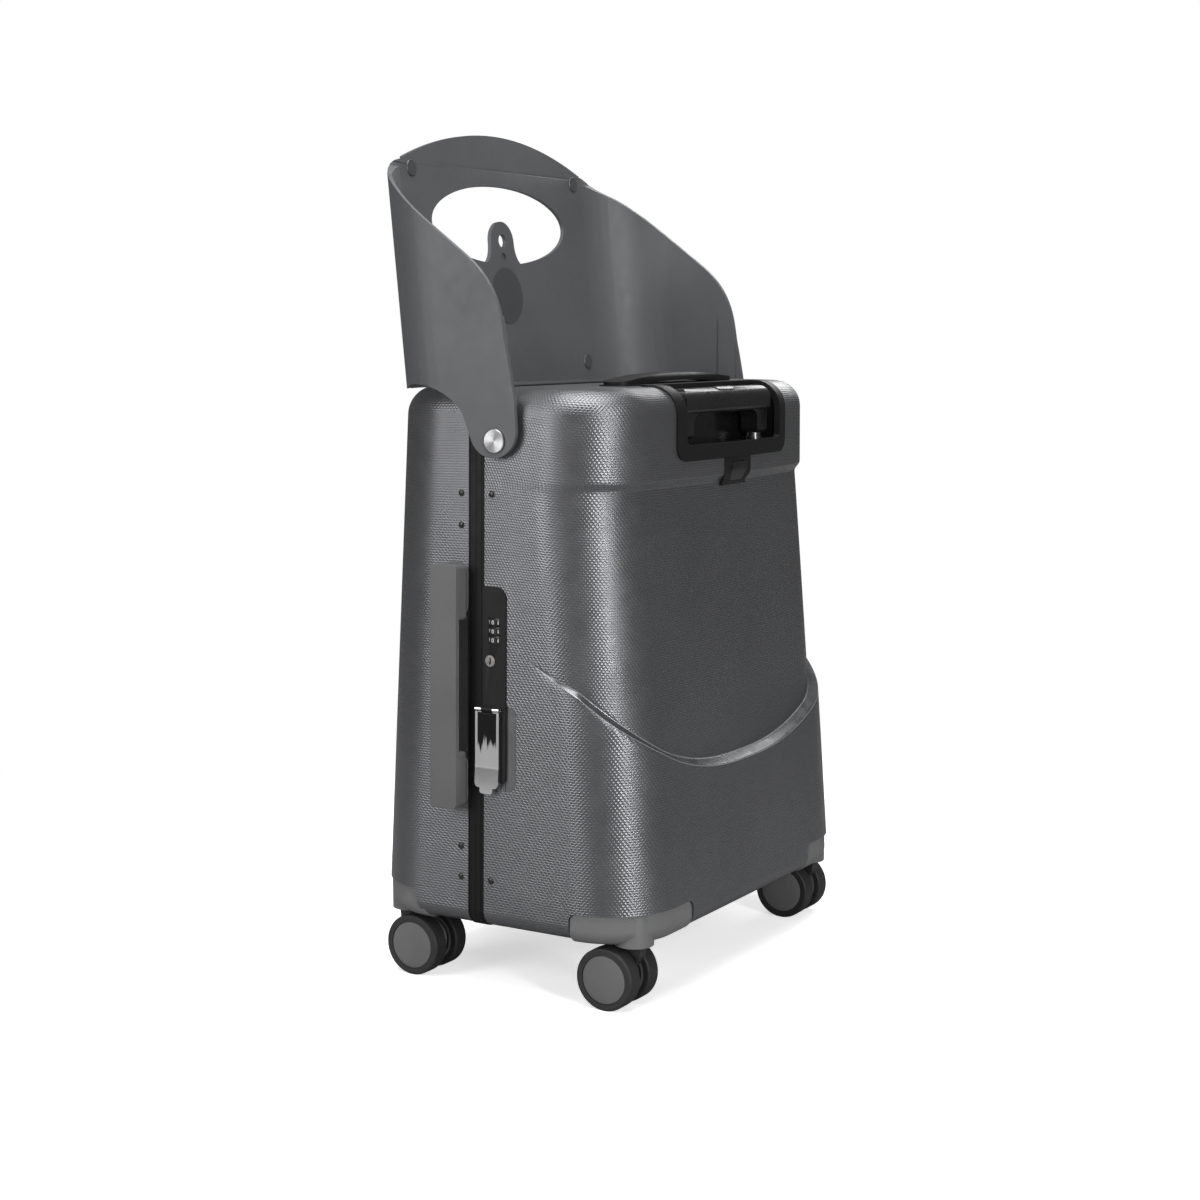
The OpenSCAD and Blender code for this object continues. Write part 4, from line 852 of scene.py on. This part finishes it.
class SUITCASE_OT_shells(Operator):
    """Loft the front shell and the lid with their grain"""

    bl_idname = "suitcase.shells"
    bl_label = "Shells"

    def execute(self, context):
        sizes = context.scene.case_sizes
        for name, front in (("front_shell", True), ("back_shell", False)):
            piece = link(shell_mesh(name + "_skin", sizes, front), name + "_skin")
            guards = ("guard_fl", "guard_fr") if front else ("guard_rl", "guard_rr")
            openings = self.cutters(sizes) if front else []
            cut(piece, openings + [guard_cutter(node, sizes) for node in guards])
            smooth(piece, SHELL_ANGLE)
            dress(piece, name)
        return {"FINISHED"}

    def cutters(self, sizes):
        """What the pull handle, the top handle, the pivots and the lock take out of the front shell."""
        low, high = box_mm("top_handle_tray")
        y0, y1 = low[1] + TRAY_EDGE, high[1] - TRAY_EDGE
        tray = rounded(rectangle(-TRAY_HALF, y0, TRAY_HALF, y1), TRAY_CORNER)
        y = (y0 + y1) / 2
        strap = rounded(rectangle(-STRAP_HALF, y - STRAP_REACH, STRAP_HALF, y + STRAP_REACH), STRAP_CORNER)
        low, high = box_mm("pivot_pins")
        pin = circle((high[2] - low[2]) / 2 + PIN_GAP, 48, *middle_of(low, high)[1:])
        low, high = box_mm("lock_plate")
        y, z = middle_of(low, high)[1], low[2]
        lock = rectangle(y - LOCK_HALF, LOCK_END, y + LOCK_HALF, high[2] - z - LOCK_END)
        dip = rounded(rectangle(low[1] - DIP_REACH, DIP_FOOT, low[1] + DIP_OVERLAP, DIP_TOP),
                      [DIP_CORNER, 0, 0, DIP_CORNER])
        return [
            prism(rectangle(-RECESS_HALF, FRONT_OUT, RECESS_HALF, RECESS_BACK), RECESS_FLOOR, OUT_Z, "z"),
            prism(rectangle(-TAB_HALF, TAB_LOW, TAB_HALF, TAB_HIGH), FRONT_OUT, TAB_BACK, "y"),
            prism(tray, TRAY_FLOOR, OUT_Z, "z"),
            prism(strap, TRAY_FLOOR, OUT_Z, "z"),
            prism(pin, -OUT_X, OUT_X, "x"),
            side_cutter(sizes, lock, z, LOCK_OUT, LOCK_DEPTH),
            side_cutter(sizes, dip, z, LOCK_OUT, DIP_DEPTH),
        ]


# Rivet heads, in metres: how far they sink in, their radius, and how flat they are
HEAD_SINK, HEAD_RADIUS, HEAD_FLAT = 0.0009, 0.0027, 0.42


class SUITCASE_OT_case_frame(Operator):
    """Finish the closing frame, its seal and the hinges inside"""

    bl_idname = "suitcase.case_frame"
    bl_label = "Closing frame"

    def execute(self, context):
        for node in ("front_frame", "lid_frame"):
            softened(node, "frame", FINE_EDGE)
        finish_nodes("frame_seal", "frame_rivets", "hinge_leaves", "hinge_pins")
        self.heads()
        return {"FINISHED"}

    def heads(self):
        """A domed head on each rivet."""
        places = []
        for low, high in islands("frame_rivets"):
            x = low[0] + HEAD_SINK if low[0] < 0 else high[0] - HEAD_SINK
            places.append((x, *middle_of(low, high)[1:]))
        piece = link(mesh_of("rivet_heads", places, []), "rivet_heads")
        g = Growth("rivet_heads", Radius=HEAD_RADIUS, finish=material("rivet"))
        ball = g.add("GeometryNodeMeshUVSphere", in_Segments=28, in_Rings=14, in_Radius=g.given["Radius"])
        heads = g.add("GeometryNodeInstanceOnPoints", in_Points=g.given["Geometry"],
                      in_Instance=ball.outputs[0], in_Scale=(HEAD_FLAT, 1, 1))
        smooth(g.grown(piece, heads.outputs[0]))
        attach(piece, BODY_OF["frame_rivets"])


# The seat's back, in metres. Its inner face is mended over the flat width, clear of the plugs' holes,
# and set in one plane with the probed strip below them. Its foot is drawn down onto the lid.
RECLINE = 5.84
FLAT_HALF, HOLE_CLEAR, ABOVE_HOLES, FORWARD = 0.14, 0.0075, 0.0005, -0.5
PROBE_HALF, PROBE_DROP = 0.1, 0.016
FOOT_START, FOOT_FADE, FOOT_DROP, FOOT_BAND = 0.056, 0.008, 0.0042, 0.0025
BACK_Y, BACK_START, BACK_FADE = 0.09, 0.08, 0.016


class SUITCASE_OT_seat(Operator):
    """Round the seat's moulded edges and finish its badge, plugs and pivots"""

    bl_idname = "suitcase.seat"
    bl_label = "Seat"

    def execute(self, context):
        edge = context.scene.seat_sizes.edge
        self.lowered(softened("seat_shell", "seat", edge, 3, shape=self.full_wall))
        finish_nodes("seat_badge", "seat_plugs", "pivot_pins", "pivot_discs", "pivot_washers", "pivot_plates")
        return {"FINISHED"}

    def full_wall(self, work):
        """Brings the inner face above the upper plugs forward, into one plane with the face below."""
        holes = [middle_of(low, high) for low, high in islands("seat_plugs")]
        top = max(z for x, y, z in holes)
        probe = [v.co for v in work.verts if abs(v.co.x) < PROBE_HALF and top - PROBE_DROP < v.co.z < top]
        slope = math.tan(math.radians(RECLINE))
        plane = min(c.y - slope * c.z for c in probe)
        moved = set()
        for face in work.faces:
            centre = face.calc_center_median()
            near = min(math.hypot(centre.x - x, centre.z - z) for x, y, z in holes)
            above = centre.z > top + ABOVE_HOLES and abs(centre.x) < FLAT_HALF and near > HOLE_CLEAR
            if above and face.normal.y < FORWARD:
                moved.update(v for v in face.verts if v.co.z > top)
        for vertex in moved:
            vertex.co.y = plane + slope * vertex.co.z

    def lowered(self, piece):
        """Brings the back's lower edge down to the rounded edge of the lid."""
        foot = min(v.co.z for v in piece.data.vertices if v.co.y > BACK_Y)
        for vertex in piece.data.vertices:
            x, y, z = vertex.co
            if z < foot + FOOT_BAND and y > BACK_START:
                outward = ease(limited((abs(x) - FOOT_START) / FOOT_FADE))
                vertex.co.z -= FOOT_DROP * outward * ease(limited((y - BACK_START) / BACK_FADE))


class SUITCASE_OT_pull_handle(Operator):
    """Finish the pull handle, its bezel and its recess"""

    bl_idname = "suitcase.pull_handle"
    bl_label = "Pull handle"

    def execute(self, context):
        softened("trolley_bezel", "black_plastic", THIN_EDGE)
        softened("trolley_grip", "button", SOFT_EDGE)
        softened("seat_release", "button", THIN_EDGE)
        softened("grip_button", "button", FINE_EDGE)
        finish_nodes("trolley_cup", "outer_tubes", "tube_foot", "middle_tubes", "inner_tubes")
        return {"FINISHED"}


# The side handle's bar stands off the case. Blocks run in from its ends and posts stand in sockets.
GRIP_LENGTH, GRIP_CORNER, GRIP_THICK, GRIP_STAND = 192, 3.5, 4.6, 17.75
BLOCK_END, BLOCK_LENGTH, BLOCK_NARROW, BLOCK_CORNER, BLOCK_FOOT = 0.6, 44, 1.3, 3, -1.9
POST_IN, POST_HALF_W, POST_HALF_L, POST_TOP, POST_FOOT = 20, 7, 13, -2.5, 10
OVERLAP = 0.2


class SUITCASE_OT_carry_handles(Operator):
    """Round and finish the top handle and the side handle"""

    bl_idname = "suitcase.carry_handles"
    bl_label = "Carry handles"

    def execute(self, context):
        softened("top_handle", "black_plastic", PLAIN_EDGE)
        softened("top_handle_tray", "black_plastic", FINE_EDGE)
        dress(self.side_grip(context.scene.case_sizes), "side_handle", "side_grip")
        softened("side_handle_bases", "side_grip", FINE_EDGE)
        finish_nodes("side_feet", key="rubber")
        return {"FINISHED"}

    def side_grip(self, sizes):
        """A flat bar with a block at each end, on the posts that it springs out on."""
        low, high = box_mm("side_handle")
        y, z = middle_of(low, high)[1:]
        half_w, half_l = (high[1] - low[1]) / 2, GRIP_LENGTH / 2
        back = GRIP_THICK - GRIP_STAND
        bar = side_cutter(sizes, rounded(rectangle(y - half_w, -half_l, y + half_w, half_l), GRIP_CORNER), z,
                          -GRIP_STAND, back)
        parts = []
        half_w -= BLOCK_NARROW
        for side in (-1, 1):
            ends = sorted((side * (half_l - BLOCK_END), side * (half_l - BLOCK_LENGTH)))
            block = rounded(rectangle(y - half_w, ends[0], y + half_w, ends[1]), BLOCK_CORNER)
            parts.append(side_cutter(sizes, block, z, back - OVERLAP, BLOCK_FOOT))
            up = side * (half_l - POST_IN)
            post = rectangle(y - POST_HALF_W, up - POST_HALF_L, y + POST_HALF_W, up + POST_HALF_L)
            parts.append(side_cutter(sizes, post, z, POST_TOP, POST_FOOT))
        cut(bar, parts, "UNION")
        bar.name = bar.data.name = "side_grip_bar"
        rounded_edges(bar, SOFT_EDGE, 3)
        return bar


# Shifts of a digit to its own middle, in its height, and the turn to the next one
DIGIT_LEFT, DIGIT_DOWN, DIGIT_TURN = -0.3, -0.36, math.radians(36)


def dial_numbers(piece, radius, height):
    """Turns a piece into the ten numbers round a dial whose axis is Z."""
    g = Growth("dial_numbers", Radius=radius, Height=height, finish=material("digit"))
    size = g.given["Height"]
    text = g.add("GeometryNodeStringToCurves", in_Size=size, in_String="0123456789")
    digits = g.add("GeometryNodeFillCurve", in_0=text.outputs["Curve Instances"]).outputs[0]
    place = g.add("GeometryNodeInputPosition").outputs[0]
    back = g.vector("SCALE", place, in_Scale=-1.0)[0]
    home = g.add("GeometryNodeTranslateInstances", in_0=digits, in_Translation=back, in_Local_Space=False)
    stand = g.add("GeometryNodeRotateInstances", in_0=home.outputs[0], in_Rotation=(math.pi / 2, 0, 0))
    out = g.add("ShaderNodeCombineXYZ", in_0=g.math("MULTIPLY", size, DIGIT_LEFT),
                in_1=g.math("MULTIPLY", g.given["Radius"], -1.0), in_2=g.math("MULTIPLY", size, DIGIT_DOWN))
    moved = g.add("GeometryNodeTranslateInstances", in_0=stand.outputs[0], in_Translation=out.outputs[0],
                  in_Local_Space=False)
    turn = g.math("MULTIPLY", g.add("GeometryNodeInputIndex").outputs[0], DIGIT_TURN)
    spin = g.add("ShaderNodeCombineXYZ", in_2=turn).outputs[0]
    ring = g.add("GeometryNodeRotateInstances", in_0=moved.outputs[0], in_Rotation=spin, in_Local_Space=False)
    return g.grown(piece, ring.outputs[0])


# The latch's lever: its plate, its bend, its finger tab and its knuckles with the hole for the pin
LEVER_LENGTH, LEVER_HALF, LEVER_THICK, LEVER_SINK, LEVER_HEAD = 64, 11, 3.2, 0.3, 0.6
LEVER_CORNERS = (4, 4, 1.5, 1.5)
BEND_TOE, BEND_PAST, BEND_SHARE, BEND_CORNERS = 1.6, 5, 0.7, (2.2, 0.4, 0, 0.8, 60)
TIP_SIDE, TIP_REACH, TIP_ROOT, TIP_CORNER = 5, 4.6, 12, 2.5
KNUCKLE, KNUCKLE_IN, NECK, PIN = 2.2, 5.3, 5, 1.55
LEVER_OUT, LEVER_WIDE = 8, 20
NUMBER_LIFT, NUMBER_HEIGHT = 0.00005, 0.0046


class SUITCASE_OT_lock(Operator):
    """Round and finish the lock plate, its dials, the key cylinder and the latch"""

    bl_idname = "suitcase.lock"
    bl_label = "Lock"

    def execute(self, context):
        softened("lock_plate", "black_plastic", FINE_EDGE)
        self.lever(context.scene.case_sizes)
        finish_nodes("dial_1", "dial_2", "dial_3", "dial_axle", "latch_pin")
        finish_nodes("key_cylinder", key="nickel")
        for joint in FRAME["joints"]:
            if joint["name"].startswith("dial_"):
                self.numbers(joint)
        return {"FINISHED"}

    def lever(self, sizes):
        """The latch's curved plate with its finger tab and the two knuckles on its pin."""
        half, inner, foot = LEVER_HALF, KNUCKLE - LEVER_SINK, KNUCKLE - LEVER_LENGTH
        outer, past = inner - LEVER_THICK, -LEVER_LENGTH - BEND_PAST
        face = rounded(rectangle(-half, foot, half, -KNUCKLE - LEVER_HEAD), LEVER_CORNERS)
        tip = rounded(rectangle(TIP_SIDE - half, foot - TIP_REACH, half - TIP_SIDE, foot + TIP_ROOT),
                      TIP_CORNER)
        bend = rounded([(outer - BEND_TOE, past), (inner, past), (inner, -KNUCKLE), (outer, -KNUCKLE),
                        (outer, -BEND_SHARE * LEVER_LENGTH)], BEND_CORNERS, 1)
        piece = prism(face, -LEVER_OUT, LEVER_OUT, "x", "latch_lever_plate")
        cut(piece, [prism(tip, -LEVER_OUT, LEVER_OUT, "x")], "UNION")
        cut(piece, [prism(bend, -LEVER_WIDE, LEVER_WIDE, "y")], "INTERSECT")
        neck = rectangle(outer, -NECK, inner, 0)
        for side in (-1, 1):
            ends = sorted((side * KNUCKLE_IN, side * half))
            cut(piece, [prism(shape, *ends, "y") for shape in (circle(KNUCKLE, 32), neck)], "UNION")
        cut(piece, [prism(circle(PIN, 32), -LEVER_WIDE, LEVER_WIDE, "y")])
        centre = [c * MM for c in middle_of(*box_mm("latch_pin"))]
        piece.data.transform(Matrix.Translation(centre) @ Matrix.Rotation(side_lean(sizes), 4, "Y"))
        rounded_edges(piece, THIN_EDGE, 3)
        # The chrome finish gives the lever a painted dark reflection
        dress(piece, "latch_lever", "chrome")

    def numbers(self, joint):
        """The white numbers on one dial, just outside its rim."""
        node = joint["child"]
        low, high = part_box(node)
        name = node + "_numbers"
        radius = (high[1] - low[1]) / 2 + NUMBER_LIFT
        piece = dial_numbers(link(bpy.data.meshes.new(name), name), radius, NUMBER_HEIGHT)
        axis = Vector(joint["axis"]).normalized()
        turn = Vector((0, 0, 1)).rotation_difference(axis).to_matrix().to_4x4()
        turn = turn @ Matrix.Rotation(-math.pi / 2, 4, "Z")
        piece.data.transform(Matrix.Translation(joint["pos_m"]) @ turn)
        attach(piece, BODY_OF[node])


class SUITCASE_OT_casters(Operator):
    """Round and finish the corner guards, forks and wheels"""

    bl_idname = "suitcase.casters"
    bl_label = "Casters"

    def execute(self, context):
        for corner in ("fl", "fr", "rl", "rr"):
            softened("guard_" + corner, "guard", SOFT_EDGE)
            softened("fork_" + corner, "fork", PLAIN_EDGE)
            finish_nodes("axle_" + corner, "hubs_" + corner, "tyres_" + corner)
        return {"FINISHED"}


class SUITCASE_OT_stage(Operator):
    """Place the camera, the lamps, the floor and the pale world"""

    bl_idname = "suitcase.stage"
    bl_label = "Stage"

    def execute(self, context):
        scene = context.scene
        sizes = scene.stage_sizes
        data = bpy.data.cameras.new("camera")
        data.sensor_width = 36
        data.lens = sizes.lens
        camera = link(data, "camera")
        camera.location = sizes.place
        camera.rotation_euler = (math.pi / 2 - sizes.pitch, 0, sizes.azimuth)
        scene.camera = camera
        scene.view_settings.view_transform = "Standard"
        self.world(scene)
        self.floor()
        for name, place, size, power, target in LAMPS:
            self.lamp(name, place, size, power, target)
        return {"FINISHED"}

    def world(self, scene):
        world = bpy.data.worlds.new("studio")
        scene.world = world
        world.use_nodes = True
        g = Graph(world.node_tree)
        colour, strength = g.tree.nodes["Background"].inputs[:2]
        g.put(colour, (1, 1, 1, 1))
        seen = g.add("ShaderNodeLightPath").outputs["Is Camera Ray"]
        g.put(strength, g.math("MULTIPLY_ADD", seen, 1 - WORLD_LEVEL, WORLD_LEVEL))

    def floor(self):
        half = FLOOR_HALF
        corners = [(-half, -half, 0), (half, -half, 0), (half, half, 0), (-half, half, 0)]
        piece = link(mesh_of("floor", corners, [(0, 1, 2, 3)]), "floor")
        n = Nodes("floor_white", (0.85, 0.85, 0.85), 0.9, 0.0, 0.0)
        seen = n.add("ShaderNodeLightPath").outputs["Is Camera Ray"]
        n.tint(seen, (0.3, 0.3, 0.3), (1.0, 1.0, 1.0))
        n.set(Emission_Color=(1, 1, 1, 1), Emission_Strength=n.math("MULTIPLY", seen, FLOOR_GLOW))
        far = n.vector("LENGTH", n.coords())["Value"]
        start, end = FLOOR_FADE
        reach = n.add("ShaderNodeMapRange", interpolation_type="SMOOTHSTEP", in_0=far, in_1=start, in_2=end)
        mix = n.add("ShaderNodeMixShader", in_0=n.math("MULTIPLY", seen, reach.outputs[0]),
                    in_1=n.shader.outputs[0], in_2=n.add("ShaderNodeEmission").outputs[0])
        n.put(n.tree.nodes["Material Output"].inputs["Surface"], mix.outputs[0])
        piece.data.materials.append(n.material)

    def lamp(self, name, place, size, power, target):
        data = bpy.data.lights.new(name, "AREA")
        data.shape = "RECTANGLE"
        data.size, data.size_y = size
        data.energy = power
        lamp = link(data, name)
        lamp.location = place
        lamp.rotation_euler = (Vector(target) - Vector(place)).to_track_quat("-Z", "Y").to_euler()


WORLD_LEVEL = 0.125
FLOOR_HALF = 6
FLOOR_GLOW = 0.6
FLOOR_FADE = (0.4, 1.0)
LAMPS = (
    ("left_softbox", (-2.1, 0.9, 1.0), (1.0, 1.4), 25, (0, 0, 0.35)),
    ("top_softbox", (-0.4, -0.2, 2.3), (1.6, 1.6), 52, (0, 0, 0.3)),
    ("corner_strip", (-1.25, -2.3, 0.8), (0.22, 1.5), 38, (0, -0.1, 0.35)),
    ("right_softbox", (2.2, 0.3, 1.6), (0.9, 1.2), 16, (0, 0, 0.35)),
)


class SUITCASE_PT_pieces(Panel):
    """Sidebar with a button for each building step"""

    bl_idname = "SUITCASE_PT_pieces"
    bl_label = "Ride on suitcase"
    bl_space_type = "VIEW_3D"
    bl_region_type = "UI"
    bl_category = "Suitcase"

    def draw(self, context):
        for operator in OPERATORS:
            self.layout.operator(operator.bl_idname)


OPERATORS = (
    SUITCASE_OT_stage,
    SUITCASE_OT_shells,
    SUITCASE_OT_case_frame,
    SUITCASE_OT_seat,
    SUITCASE_OT_pull_handle,
    SUITCASE_OT_carry_handles,
    SUITCASE_OT_lock,
    SUITCASE_OT_casters,
)
GROUPS = {"case_sizes": CaseSizes, "seat_sizes": SeatSizes, "stage_sizes": StageSizes}


def register():
    for group in GROUPS.values():
        bpy.utils.register_class(group)
    for name, group in GROUPS.items():
        setattr(bpy.types.Scene, name, PointerProperty(type=group))
    for item in (*OPERATORS, SUITCASE_PT_pieces):
        bpy.utils.register_class(item)


def unregister():
    for item in (SUITCASE_PT_pieces, *reversed(OPERATORS)):
        bpy.utils.unregister_class(item)
    for name, group in GROUPS.items():
        delattr(bpy.types.Scene, name)
        bpy.utils.unregister_class(group)


def main():
    register()
    for operator in OPERATORS:
        group, name = operator.bl_idname.split(".")
        getattr(getattr(bpy.ops, group), name)()


if __name__ == "__main__":
    main()
